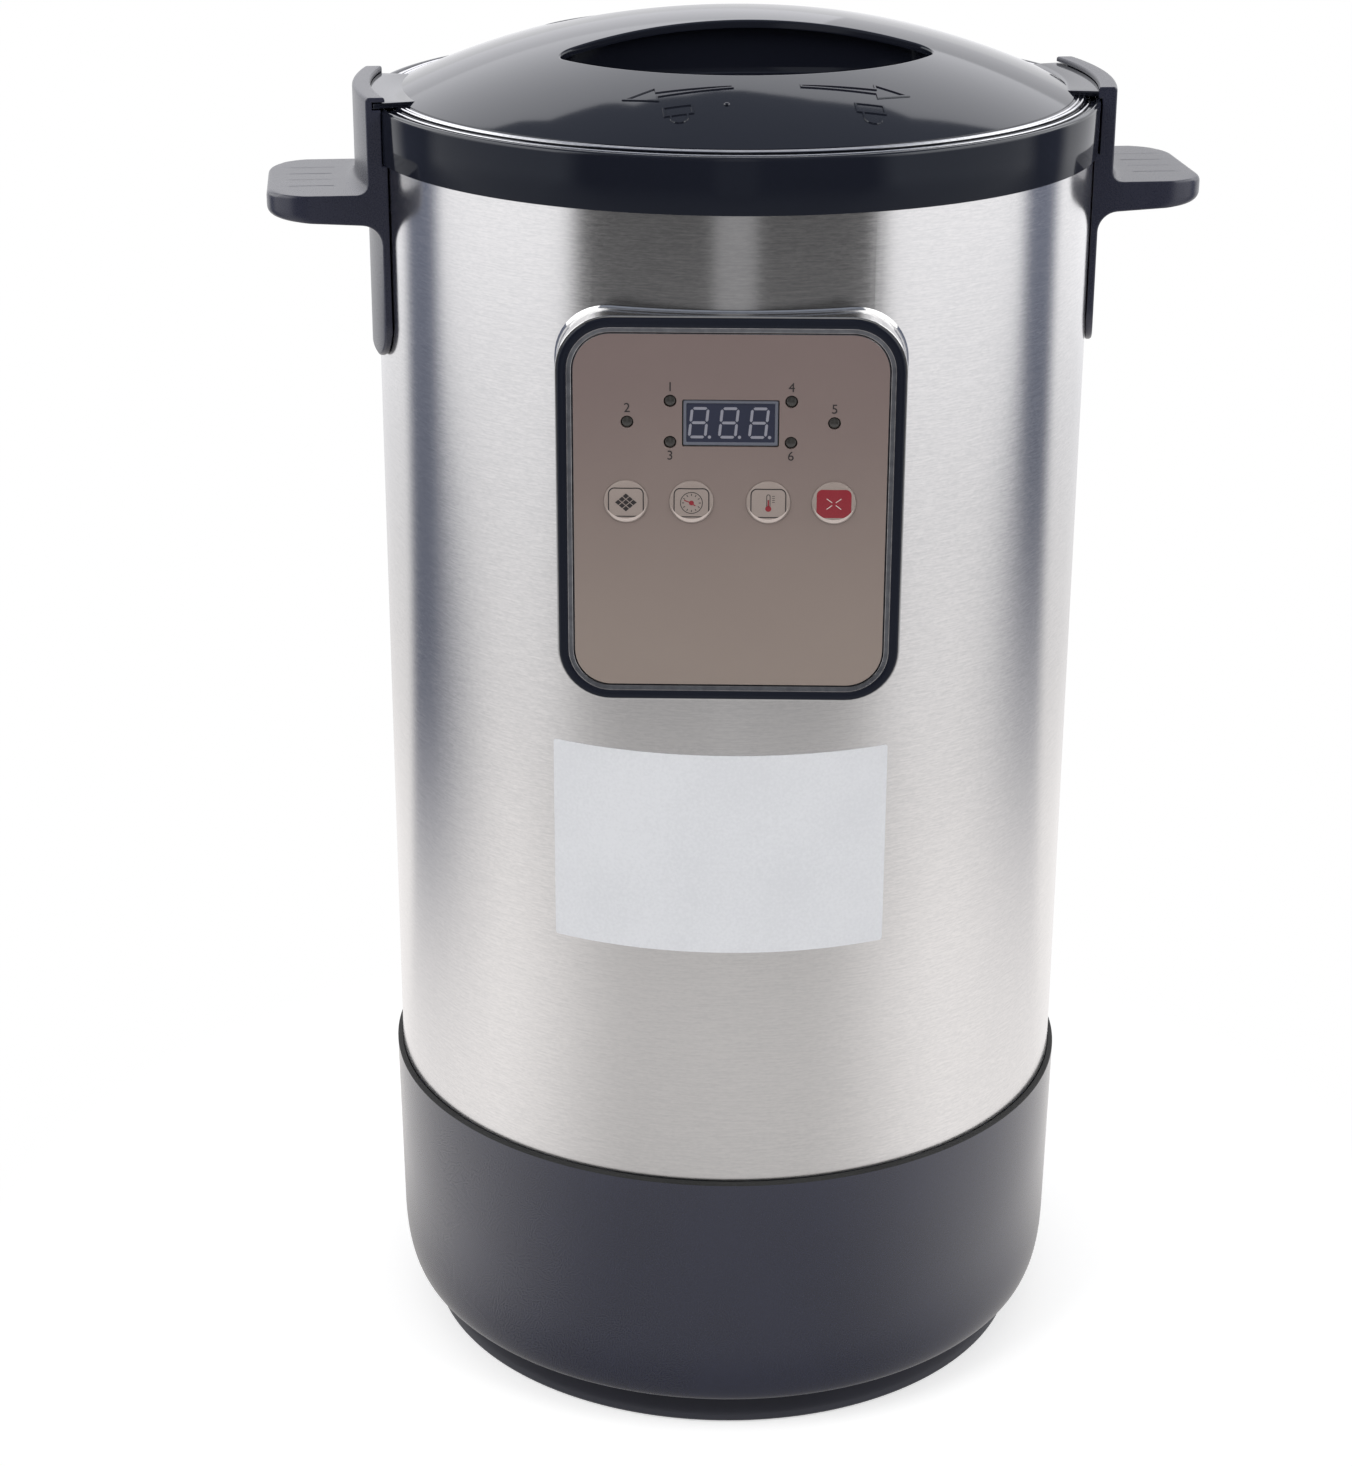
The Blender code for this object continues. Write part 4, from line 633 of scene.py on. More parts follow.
def footRing():
    r = ring
    outline = [(0.0, r["floorTop"]), (r["spigot"], r["floorTop"]), (r["spigot"], r["top"]), (r["radius"], r["top"]),
               (r["radius"], r["low"]), (r["inner"], r["low"]), (r["inner"], r["floorLow"]), (0.0, r["floorLow"])]
    profile = roundCorners(outline, (0, 0.0004, 0, 0.0006, 0.0014, 0.0006, 0.0010, 0), (0, 2, 0, 3, 6, 3, 3, 0))
    piece = makePiece("footRing", *turned(profile, r["segments"]), [finishes["ring_plastic"]])
    wells = ((r["footRadius"] + clearance, r["footTop"] + clearance, 0.0),
             (r["wellRadius"], r["low"] + r["wellDepth"], pi / 4), (r["screwHole"], 0.0200, pi / 4))
    for k in range(r["count"]):
        for radius, depth, turn in wells:
            a = turn + k * pi / 2
            outline = disc(r["middle"] * cos(a), r["middle"] * sin(a), radius, 28)
            combine(piece, "DIFFERENCE", loopStack(layers(outline, upright, (-0.001, depth))))
    outline = roundRect(r["ventWidth"], r["ventLength"], r["ventWidth"] * 0.49, 5)
    depths = (r["floorLow"] - 0.004, r["floorTop"] + 0.004)
    slot = makePiece("ventSlot", *loopStack(layers(outline, upright, depths)), [])
    runTree(piece, slotRow, {"Slot": slot, "Count": r["ventCount"], "Pitch": r["ventPitch"],
                             "Finish": finishes["ring_plastic"]})
    dropTemplate(slot)
    seat(piece, "housing", "ring_plastic", "base_plate")


def ringOf(name, template, height, start, finishName, *nodes):
    holder = makePiece(name, [(0, 0, 0), (0.001, 0, 0), (0, 0.001, 0)], [[0, 1, 2]], [])
    runTree(holder, ringPieces, {"Piece": template, "Count": ring["count"], "Ring Radius": ring["middle"],
                                 "Start Angle": start, "Height": height, "Finish": finishes[finishName]})
    dropTemplate(template)
    seat(holder, "housing", finishName, *nodes)


def rubberFoot():   # with a shallow ring groove in the sole
    top, radius = ring["footTop"], ring["footRadius"]
    outline = [(0.0, top), (radius, top), (radius, 0.0), (0.0052, 0.0), (0.0048, 0.0004), (0.0032, 0.0004),
               (0.0028, 0.0), (0.0, 0.0)]
    profile = roundCorners(outline, (0, 0.0003, 0.0007, 0.0002, 0.0002, 0.0002, 0.0002, 0), (0, 2, 5, 2, 2, 2, 2, 0))
    return makePiece("footTemplate", *turned(profile, 40), [finishes["rubber"]])


def screwShape(length, shank=0.0014, head=0.0032, high=0.0022):   # pan head down, cross recess in it
    outline = [(0.0, length + high), (shank, length + high), (shank, high), (head, high), (head, 0.0008), (0.0, 0.0)]
    profile = roundCorners(outline, (0, 0.0003, 0, 0.0002, 0.0012, 0), (0, 2, 0, 2, 5, 0))
    screw = makePiece("screwTemplate", *turned(profile, 32), [finishes["polished_steel"]])
    for w, h in ((0.0036, 0.0007), (0.0007, 0.0036)):
        outline = roundRect(w, h, 0.0001, 2)
        recess = [[(x * s, y * s, z) for x, y in outline] for s, z in ((1.0, -0.001), (0.6, 0.0012))]
        combine(screw, "DIFFERENCE", loopStack(recess))
    return screw


footRing()
ringOf("rubberFeet", rubberFoot(), 0.0, 0.0, "rubber", *numbered("rubber_foot", 4))
ringOf("baseScrews", screwShape(0.0110), 0.0034, pi / 4, "polished_steel", *numbered("base_screw", 4))
print("base made")

# collar with its fine steps along the top edge
collar = dict(radius=0.1295, low=0.4603, top=0.4790, shoulder=0.0012, roof=0.4737, groove=0.1267, skirt=0.0100,
              skirtWall=0.0020, shelf=0.4732, shelfThick=0.0025, shelfBore=0.1132, recess=0.1172, deck=0.1244,
              bead=0.0006, beadAt=0.1254, valley=0.0008, segments=288)


def collarRing():
    c = collar
    radius, low, top, bead, beadAt, groove = (c[k] for k in ("radius", "low", "top", "bead", "beadAt", "groove"))
    shoulder = arcPoints((radius - c["shoulder"], top - c["shoulder"]), c["shoulder"], pi * 0.92, 0.0, 10)
    valley, bore, skirtLow = top - c["valley"], barrel["radius"] + clearance, c["roof"] - c["skirt"]
    deck = [(c["recess"], top), (c["deck"] - 0.0003, top), (c["deck"] - 0.0001, top - 0.0002), (c["deck"], valley),
            (beadAt - bead, valley)] + arcPoints((beadAt, top - bead), bead, pi, 0.0, 10) + [(beadAt + bead, valley)]
    wall, shelfLow = groove - c["skirtWall"], c["shelf"] - c["shelfThick"]
    under = [(radius, low + 0.0004), (radius - 0.0001, low + 0.0001), (radius - 0.0004, low), (bore, low),
             (bore, c["roof"]), (groove, c["roof"]), (groove, skirtLow), (wall, skirtLow), (wall, shelfLow),
             (c["shelfBore"], shelfLow), (c["shelfBore"], c["shelf"]), (c["recess"], c["shelf"])]
    looks = [collarBlack, finishes["gloss_black"], rimLine]
    piece = makePiece("collarRing", *turned(deck + shoulder + under, c["segments"]), looks, 24.0)
    for face in piece.data.polygons:   # the top is as shiny as the lid, and its bead is bright
        middle = face.center
        onBead = abs(middle.xy.length - beadAt) < bead * 0.8 and middle.z > top - bead * 0.7
        face.material_index = 2 if onBead else int(middle.z > top - c["shoulder"])
    seat(piece, "housing", "gloss_black", "collar")


collarRing()

# handles: sections across the handle, lofted from end to end
handle = dict(turn=radians(7.05), half=0.0340, reach=0.1657, tipCorner=0.0160, lipInner=0.1284, postInner=0.1298,
              postOuter=0.1348, postTop=0.4833, step=0.4600, gripTop=0.4500, gripLow=0.4393, rise=0.0020,
              rootX=0.1304, strapInner=0.1281, strapOuter=0.1305, strapLow=0.3906, strapCorner=0.0140,
              channelLow=0.4790, channelHigh=0.4816, channelOuter=0.1326, channelEnd=radians(13.99), lugLow=0.4793,
              edge=0.0005, rootFillet=0.0080, strapFillet=0.0072, grooves=4, groovePitch=0.0110, grooveWidth=0.0030,
              grooveLength=0.0200, grooveDepth=0.00006)
grooveLines = [(k - (handle["grooves"] - 1) / 2) * handle["groovePitch"] for k in range(handle["grooves"])]
channelStop = -handle["channelOuter"] * sin(handle["channelEnd"])


def handleSection(y):
    h = handle
    out = lambda key: sqrt(h[key] ** 2 - y ** 2)

    def cornerDrop(radius):
        past = max(0.0, abs(y) - (h["half"] - radius))
        return radius - sqrt(max(0.0, radius ** 2 - past ** 2))

    lip, post, channel = out("lipInner"), out("postOuter"), out("channelOuter")
    bore, strapIn, strapOut = out("postInner"), out("strapInner"), out("strapOuter")
    tip, low = h["reach"] - cornerDrop(h["tipCorner"]), h["strapLow"] + cornerDrop(h["strapCorner"])
    under = lambda x: h["gripLow"] + h["rise"] / (h["reach"] - h["rootX"]) * (x - h["rootX"])
    top = h["gripTop"]
    dip = h["grooveDepth"] if min(abs(y - line) for line in grooveLines) < h["grooveWidth"] / 2 else 0.0
    far = h["reach"] - h["tipCorner"] / 2
    near, end, root = far - h["grooveLength"], min(far, tip - 0.0035), post + h["rootFillet"] * 1.05
    grooves = [(max(x, root), z) for x, z in ((near - 0.0004, top), (near, top - dip), (end, top - dip),
                                              (end + 0.0004, top))]
    if y > channelStop:
        channelLoop = [(bore, h["channelLow"]), (channel, h["channelLow"]), (channel, h["channelHigh"]),
                       (lip, h["channelHigh"])]
    else:   # the channel's closed end
        channelLoop = [(bore, h["channelLow"]), (bore, h["lugLow"] - 0.0001), (bore, h["lugLow"]), (lip, h["lugLow"])]
    points = [(lip, h["postTop"]), (post, h["postTop"]), (post, top)] + grooves
    points += [(tip, top), (tip, under(tip)), (strapOut, under(strapOut)), (strapOut, low), (strapIn, low),
               (strapIn, h["step"]), (bore, h["step"])] + channelLoop
    radii = [0.0008, 0.0014, h["rootFillet"], *[0.0] * 4, 0.0022, 0.0032, h["strapFillet"], 0.0010, 0.0008, *[0.0] * 6]
    return roundCorners(points, radii, [3, 5, 9, 0, 0, 0, 0, 6, 6, 8, 4, 2, *[0] * 6])


def handleShape():
    h = handle
    edge, half, straight = h["edge"], h["half"], h["half"] - h["tipCorner"]
    stations = [-straight + 2 * straight * k / 36 for k in range(37)]
    for k in range(1, 23):   # closer together round the corners of the grip
        y = straight + h["tipCorner"] * sin(pi / 2 * k / 23)
        if y < half - edge:
            stations += [y, -y]
    for line in grooveLines:
        for side in (-1, 1):
            stations += [line + side * (h["grooveWidth"] / 2 + past) for past in (-0.0001, 0.0002)]
    stations += [channelStop - 0.0001, channelStop + 0.0001, half - edge, -half + edge]
    rings = [(y, handleSection(y)) for y in sorted(set(round(y, 7) for y in stations))]
    for shrink, back in quarter(4, 1):   # rounded ends
        y = half - edge * back
        rings.insert(0, (-y, inset(handleSection(-y), edge * shrink)))
        rings.append((y, inset(handleSection(y), edge * shrink)))
    return loopStack([[Vector((x, y, z)) for x, z in section] for y, section in rings])


def handles():
    shape = handleShape()
    for side, extra in (("Right", 0.0), ("Left", pi)):
        turn = Matrix.Rotation(handle["turn"] + extra, 4, "Z")
        piece = makePiece("handle" + side, *moved(shape, turn), [finishes["handle_black"]], 30.0)
        seat(piece, "housing", "handle_black", "handle_" + side.lower())


handles()
print("collar and handles made")

# lid cover
lid = dict(turn=radians(7.05), radius=0.1200, rimLow=0.4793, dome=0.28593, apex=0.5065, shell=0.0026, hollow=0.11548,
           flange=0.1238, lugTop=0.4813, lugRoot=0.1160, lugOuter=0.1323, lugStart=radians(-13.73),
           lugEnd=radians(14.89), lugRound=0.0006, farCentre=0.2030, farRadius=0.1828, nearCentre=0.0026,
           nearRadius=0.0732, tip=0.0070, floor=0.4860, floorFillet=0.0030, lip=0.0026, undercut=0.0050,
           rimFillet=0.0010, wall=0.0022, spacing=0.0034, segments=288, edge=0.0004, bead=0.0006,
           beads=(0.1216, 0.1232), boss=0.0060, spigot=0.0036, bossLow=0.4714, spigotLow=0.4706)


def domeZ(x, y, inward=0.0):
    return lid["apex"] - lid["dome"] + sqrt((lid["dome"] - inward) ** 2 - x * x - y * y)


def onDome(x, y):
    return x, y, domeZ(x, y)


def inDome(x, y):
    return x, y, domeZ(x, y, lid["shell"])


def pocketLoop(grow, side):   # two arcs and two rounded tips, as (x, y, share of the undercut)
    far, near, tip = lid["farRadius"], lid["nearRadius"], lid["tip"]
    a, b, d = far - tip, near - tip, lid["farCentre"] - lid["nearCentre"]
    down = (b * b - a * a + d * d) / (2 * d)   # from the near arc's centre to the tip's
    cx, cy = sqrt(b * b - down * down), lid["nearCentre"] + down
    farAngle, nearAngle = atan2(cx, lid["farCentre"] - cy), atan2(cx, down)
    start, end = pi / 2 - farAngle, nearAngle - pi / 2
    points, corner = [], []
    for k in range(61):
        t = -farAngle + 2 * farAngle * k / 60
        points.append(((far + grow) * sin(t), lid["farCentre"] - (far + grow) * cos(t), 1.0))
    for k in range(1, 12):
        t = start + (end - start) * k / 12
        corner.append((cx + (tip + grow) * cos(t), cy - (tip + grow) * sin(t), 0.5 + 0.5 * cos(pi * k / 12)))
    points += corner
    for k in range(81):
        t = nearAngle - 2 * nearAngle * k / 80
        points.append(((near + grow) * sin(t), lid["nearCentre"] + (near + grow) * cos(t), 0.0))
    points += [(-x, y, share) for x, y, share in reversed(corner)]
    return [(x * -side, y * side, share) for x, y, share in points]


def undercutLoop(grow, side):
    return [(x, y - side * lid["undercut"] * share) for x, y, share in pocketLoop(grow, side)]


def pocketShape(side):
    l = lid
    sunk = lambda outline, depth: [(x, y, domeZ(x, y) - depth) for x, y, *_ in outline]
    loops = []
    for down, grow in quarter(5):
        loops.append(sunk(pocketLoop(l["rimFillet"] * grow, side), l["rimFillet"] * down))
    loops += [sunk(pocketLoop(0.0, side), l["lip"]), sunk(undercutLoop(0.0, side), l["lip"] + 0.0003)]
    for shrink, up in quarter(4):
        outline = undercutLoop(-l["floorFillet"] * shrink, side)
        loops.append([(x, y, l["floor"] + l["floorFillet"] * up) for x, y in outline])
    return loopStack(loops, False)


def cupShape(side):   # the pocket seen from inside the lid
    outer = undercutLoop(lid["wall"], side)
    return loopStack([[inDome(*p) for p in outer], [(*p, lid["floor"] - lid["wall"]) for p in outer]], False)


def lugShape(middle):
    l = lid
    low, high, root, outer, rounded = (l[k] for k in ("rimLow", "lugTop", "lugRoot", "lugOuter", "lugRound"))
    outline = [(root, low), (outer, low), (outer, high), (root, high)]
    section = roundCorners(outline, (0.0002, 0.0004, 0.0006, 0.0002), (2, 3, 4, 2))
    start, end, slack = l["lugStart"], l["lugEnd"], rounded / outer
    ends = [(slack * back, rounded * shrink) for shrink, back in quarter(4, 1)]
    turns = [start + (end - start) * (k / 28) for k in range(29)]
    stations = [(start + back, shrink) for back, shrink in reversed(ends)]
    stations += [(t, 0.0) for t in turns if start + slack < t < end - slack]
    stations += [(end - back, shrink) for back, shrink in ends]
    loops = []
    for t, shrink in stations:
        loop = inset(section, shrink) if shrink else section
        loops.append([(r * cos(middle + t), r * sin(middle + t), z) for r, z in loop])
    return loopStack(loops)


def strokeOn(points, width, height, closed=True, base=domeZ):   # raised line that follows a dome
    count = len(points)
    rails = []
    for i in range(count):
        here = Vector(points[i])
        before = Vector(points[i - 1]) if closed or i else here - (Vector(points[i + 1]) - here)
        after = Vector(points[(i + 1) % count]) if closed or i < count - 1 else here + (here - Vector(points[i - 1]))
        d1, d2 = (here - before).normalized(), (after - here).normalized()
        side = Vector((-d1.y - d2.y, d1.x + d2.x)).normalized()
        side *= 1 / max(0.4, side.dot(Vector((-d1.y, d1.x))))
        rail = []
        for across, up in ((-0.5, -0.0003), (-0.32, height), (0.32, height), (0.5, -0.0003)):
            p = here + side * (across * width)
            rail.append((p.x, p.y, base(p.x, p.y) + up))
        rails.append(rail)
    return loopStack(rails, not closed, not closed, closed)


def thicken(points, step, closed=True):   # extra points along a polyline
    result = []
    for i in range(len(points) if closed else len(points) - 1):
        a, b = Vector(points[i]), Vector(points[(i + 1) % len(points)])
        parts = max(1, int((b - a).length / step))
        result += [tuple(a.lerp(b, k / parts)) for k in range(parts)]
    return result if closed else result + [points[-1]]


marks = dict(width=0.0009, height=0.00040, arrowY=-0.0842, leftTip=-0.0464, rightTip=0.0473, head=0.0105, tail=0.0250,
             lockSize=0.0092, lockY=-0.0985, bump=(-0.0140, -0.0948), bumpSize=0.0011)


def lidMarks():   # turning arrows, a shut and an open padlock, and a small register bump
    m = marks
    s, low = m["lockSize"], m["lockY"]
    raised = lambda points, closed=True: strokeOn(points, m["width"], m["height"], closed)
    shapes = []
    for tip, way in ((m["leftTip"], 1), (m["rightTip"], -1)):
        y, head, tail = m["arrowY"], tip + way * m["head"], tip + way * (m["head"] + m["tail"])
        arrow = [(tip, y), (head, y + 0.0042), (head, y + 0.0014), (tail, y + 0.0006), (tail, y - 0.0006),
                 (head, y - 0.0014), (head, y - 0.0042)]
        shapes.append(raised(thicken(arrow, 0.002)))
    for x, lift in ((-0.0300, 0.0), (0.0330, 0.0016)):
        left, right, high = x - s * 0.5, x + s * 0.5, low + s * 0.55
        shapes.append(raised(thicken([(left, low), (right, low), (right, high), (left, high)], 0.002)))
        bow = [(x - s * 0.3, low - 0.0002)]
        for a in [pi - pi * k / 12 for k in range(13)]:
            bow.append((x + s * 0.3 * cos(a), low - lift - s * 0.18 - s * 0.3 * sin(a)))
        if not lift:
            bow.append((x + s * 0.3, low - 0.0002))
        shapes.append(raised(bow, False))
    x, y = m["bump"]
    loops = []
    for a in [pi / 2 * k / 6 for k in range(6)]:
        z = domeZ(x, y) - 0.0002 + m["bumpSize"] * 0.7 * sin(a)
        loops.append([(*p, z) for p in disc(x, y, m["bumpSize"] * cos(a), 20)])
    return joined(*shapes, loopStack(loops))


def lidCover():
    l = lid
    radius, lowZ, hollow, edge, bead = l["radius"], l["rimLow"], l["hollow"], l["edge"], l["bead"]
    mouths = [[(x, y) for x, y, _ in pocketLoop(l["rimFillet"], side)] for side in (-1, 1)]
    cups = [undercutLoop(l["wall"], side) for side in (-1, 1)]
    top = flatMesh(disc(0.0, 0.0, radius, l["segments"]), mouths, l["spacing"], onDome)
    lining = flatMesh(disc(0.0, 0.0, hollow, l["segments"]), cups, l["spacing"] * 2.2, inDome)
    slope = asin(radius / l["dome"])
    rim = arcPoints((radius - edge * sin(slope), domeZ(radius, 0.0) - edge * cos(slope)), edge, pi / 2 - slope, 0.0, 5)
    for middle in l["beads"]:   # two fine raised lines round the rim
        rim += [(middle - bead, lowZ + 0.0001)] + arcPoints((middle, lowZ), bead, pi * 0.92, pi * 0.08, 9)
    rim += [(l["flange"], lowZ), (hollow, domeZ(hollow, 0.0, l["shell"]))]
    bossTop = l["apex"] - 0.0016
    boss = turned([(0.0, bossTop), (l["boss"], bossTop), (l["boss"], l["bossLow"]), (l["spigot"], l["bossLow"]),
                   (l["spigot"], l["spigotLow"]), (0.0, l["spigotLow"])], 24)
    shape = joined(top, turned(rim, l["segments"], False), pocketShape(-1), pocketShape(1), lining, cupShape(-1),
                   cupShape(1), lugShape(0.0), lugShape(pi), boss, lidMarks())
    spin = Matrix.Rotation(l["turn"], 4, "Z")
    cover = makePiece("lidCover", *moved(shape, spin), [finishes["gloss_black"], rimLine], 26.0)
    mesh = cover.data
    centre = Vector((0.0, 0.0, l["apex"] - l["dome"]))
    normals = []
    for face in mesh.polygons:   # the raised lines are bright, and faces of the dome shade as the true sphere
        nearBead = any(abs(face.center.xy.length - r) < bead * 0.8 for r in l["beads"])
        face.material_index = int(nearBead and bead * 0.3 < face.center.z - lowZ < bead * 1.1)
        spokes = [mesh.vertices[i].co - centre for i in face.vertices]
        smooth = all(abs(spoke.length - l["dome"]) < 2e-6 for spoke in spokes)
        normals += [spoke.normalized() if smooth else Vector((0.0, 0.0, 0.0)) for spoke in spokes]
    mesh.normals_split_custom_set(normals)
    seat(cover, "lid", "gloss_black", "lid_cover")


lidCover()
print("lid made")


# control panel
def panelLoop(grow, depth):
    p = panel
    outline = roundRect(p["width"] + 2 * grow, p["height"] + 2 * grow, max(0.0008, p["corner"] + grow), 12, 20)
    return [onPanel(u, v, depth(u)) for u, v in outline]


def flatLoop(grow, w):
    return panelLoop(grow, lambda u: w)


def hugLoop(grow, extra=0.0):   # follows the barrel
    return panelLoop(grow, lambda u: sqrt((panel["seatRadius"] + extra) ** 2 - u * u))


def bezel():
    p = panel
    front, face, band, edge, plate = p["front"], p["face"], p["band"], p["edge"], p["plateFront"]
    ledge = plate - p["plateThick"] - clearance
    inner, window = -p["rim"], -(p["rim"] + p["ledge"])
    loops = [hugLoop(window), hugLoop(-0.003), hugLoop(face)]
    loops += [flatLoop(face - edge * shrink, front - edge * back) for shrink, back in quarter(5)]
    loops.append(flatLoop(band + 0.0002, front))
    look = [0] * len(loops) + [1, 1, 2, 1, 2, 0, 0]   # black face, a fine bright line, a grey slope down to the film
    for grow, w in ((band, front - 0.0001), (band - 0.00025, front - 0.0001), (band - 0.0003, front - 0.0002),
                    (inner + 0.00015, plate + 0.0001), (inner, plate), (inner, ledge), (window, ledge)):
        loops.append(flatLoop(grow, w))
    which = [k for k in look for _ in loops[0]]
    piece = makePiece("panelBezel", *loopStack(loops, wrap=True), [collarBlack, edgeSilver, edgeGrey], 28.0, which)
    seat(piece, "housing", "gloss_black", "panel_bezel")


def panelSurround():   # bright, and its lip shows as a line
    p = panel
    spread, seam, half = p["flangeSpread"], p["face"] + 0.00005, p["trim"] * 0.5
    outer, top = p["face"] + p["trim"], p["front"] - p["edge"]
    loops = [hugLoop(seam), hugLoop(spread), hugLoop(spread, 0.0003), hugLoop(spread - 0.0004, 0.0007),
             hugLoop(outer + 0.0002, 0.0012), hugLoop(outer, 0.0018), hugLoop(outer, 0.0021),
             flatLoop(outer, top - half - 0.0003)]
    loops += [flatLoop(outer - half * shrink, top - half * back) for shrink, back in quarter(4)]
    loops.append(flatLoop(seam, top))
    piece = makePiece("panelSurround", *loopStack(loops, wrap=True), [finishes["polished_steel"]], 28.0)
    seat(piece, "housing", "polished_steel")


display = dict(width=0.0310, height=0.0152, rise=0.0305, front=0.1319, depth=0.0080, border=0.0011, corner=0.0004,
               sink=0.0003, digitHeight=0.0096, digitWidth=0.0052, pitch=0.0098, stroke=0.0009, slant=0.10, dot=0.00055)
lamps = dict(radius=0.0019, hole=0.0021, length=0.0050, crown=0.0008, numberSize=0.0044, numberRise=0.0046,
             places=((0.0197, 0.0379), (0.0337, 0.0308), (0.0197, 0.0241)))
# each button also gets a painted highlight: a pale crescent near the rim of its dome, along the lower edge
buttons = dict(radius=0.0073, hole=0.00737, dome=0.0011, columns=(-0.0341, -0.0126, 0.0126, 0.0341), rise=0.0038,
               flangeReach=0.0006, flangeThick=0.0008, stem=0.0015, stemEnd=0.1233, ink=0.00004, sunk=0.0002,
               frame=(0.0114, 0.0096, 0.0020), line=0.00052, paintedHighlightRim=0.0067, paintedHighlightShift=0.0012)


def faceplate():   # film with its holes; the outer edge is a fine bright chamfer
    p, d = panel, display
    bevel, front, back = 0.0003, p["plateFront"], p["plateFront"] - p["plateThick"]
    less = 2 * (p["rim"] + clearance)

    def edgeAt(shrink):
        corner = p["corner"] - p["rim"] - clearance - shrink
        return roundRect(p["width"] - less - 2 * shrink, p["height"] - less - 2 * shrink, corner, 14)

    window = roundRect(d["width"] + 2 * clearance, d["height"] + 2 * clearance, 0.0006, 4)
    holes = [[(x, y + d["rise"]) for x, y in window]]
    holes += [disc(s * x, y, lamps["hole"], 32) for x, y in lamps["places"] for s in (-1, 1)]
    holes += [disc(x, buttons["rise"], buttons["hole"], 64) for x in buttons["columns"]]
    face = flatMesh(edgeAt(bevel), holes, 0.0, lambda x, y: onPanel(x, y, front))
    rear = flatMesh(edgeAt(0.0), holes, 0.0, lambda x, y: onPanel(x, y, back))
    walls = [tube(layers(hole, onPanel, (front, back))) for hole in holes]
    walls.append(tube(layers(edgeAt(0.0), onPanel, (front - bevel, back))))
    chamfer = tube(layers(edgeAt(bevel), onPanel, [front]) + layers(edgeAt(0.0), onPanel, [front - bevel]))
    verts, faces = joined(face, rear, *walls, chamfer)
    which = [0] * (len(faces) - len(chamfer[1])) + [1] * len(chamfer[1])
    piece = makePiece("panelFaceplate", verts, faces, [finishes["bronze_film"], edgeSilver], 20.0, which)
    seat(piece, "housing", "bronze_film", "panel_faceplate")


def displayModule():
    d = display
    loops = []
    for shrink, corner, down in ((0.0, d["corner"], d["depth"]), (0.0, d["corner"], 0.0002), (0.0002, d["corner"], 0.0),
                                 (d["border"] - 0.0002, d["corner"], 0.0), (d["border"], 0.0003, d["sink"])):
        outline = roundRect(d["width"] - 2 * shrink, d["height"] - 2 * shrink, corner, 4)
        loops.append([onPanel(x, y + d["rise"], d["front"] - down) for x, y in outline])
    verts, faces = loopStack(loops)
    which = [0] * (len(faces) - 1) + [1]   # the last is the window itself
    piece = makePiece("displayModule", verts, faces, [frameGrey, finishes["display_window"]], 25.0, which)
    seat(piece, "housing", "display_window", "display_module")


def atSpots(name, template, spots, finish, slotName, *nodes):   # the template on every spot
    row = inScene(name, bpy.data.meshes.new(name))
    row.data.from_pydata([tuple(s) for s in spots], [], [])
    runTree(row, pointPieces, {"Piece": template, "Finish": finish})
    dropTemplate(template)
    seat(row, "housing", slotName, *nodes)


def displayDigits():   # one digit of seven bars and a point, repeated three times
    d = display
    w, h, t = d["digitWidth"] / 2, d["digitHeight"] / 2, d["stroke"]
    standing = lambda outline, at: loopStack(layers(outline, at, (-0.0001, 0.00005)))
    shapes = []
    bars = [((-w, y), (w, y)) for y in (h, 0, -h)]
    bars += [((x, y), (x, y + h)) for y in (0, -h) for x in (-w, w)]
    for start, end in bars:
        a, b = Vector(start), Vector(end)
        along = (b - a).normalized()
        side, tip = Vector((-along.y, along.x)) * (t / 2), along * (t / 2)
        a, b = a + along * (t * 0.32), b - along * (t * 0.32)
        outline = [a, a + tip + side, b - tip + side, b, b - tip - side, a + tip - side]
        shapes.append(standing(outline, lambda x, y, z: Vector((x + y * d["slant"], -z, y))))
    dot = disc(w + 0.0014 - h * d["slant"], -h, d["dot"], 16)
    shapes.append(standing(dot, lambda x, y, z: Vector((x, -z, y))))
    digit = makePiece("digitTemplate", *joined(*shapes), [segmentGrey])
    spots = [onPanel((k - 1) * d["pitch"] - 0.0006, d["rise"], d["front"] - d["sink"]) for k in range(3)]
    atSpots("displayDigits", digit, spots, segmentGrey, "display_window")


def indicatorLamps():
    l = lamps
    profile = [(l["radius"] * (1 - back), l["length"] - l["crown"] * down) for down, back in quarter(6)]
    shape = moved(turned(profile + [(l["radius"], 0.0), (0.0, 0.0)], 28), Matrix.Rotation(pi / 2, 4, "X"))
    lens = makePiece("lampTemplate", *shape, [finishes["lamp_plastic"]])
    spots = [onPanel(s * x, y, panel["plateFront"] - l["length"]) for s in (-1, 1) for x, y in l["places"]]
    atSpots("indicatorLamps", lens, spots, finishes["lamp_plastic"], "lamp_plastic", *numbered("indicator_lamp", 6))


def domeOut(u, v):   # depth of a button's face, at a point given from its centre
    share = min(1.0, (u * u + v * v) / buttons["radius"] ** 2)
    return panel["plateFront"] + buttons["dome"] * sqrt(1.0 - share * share)


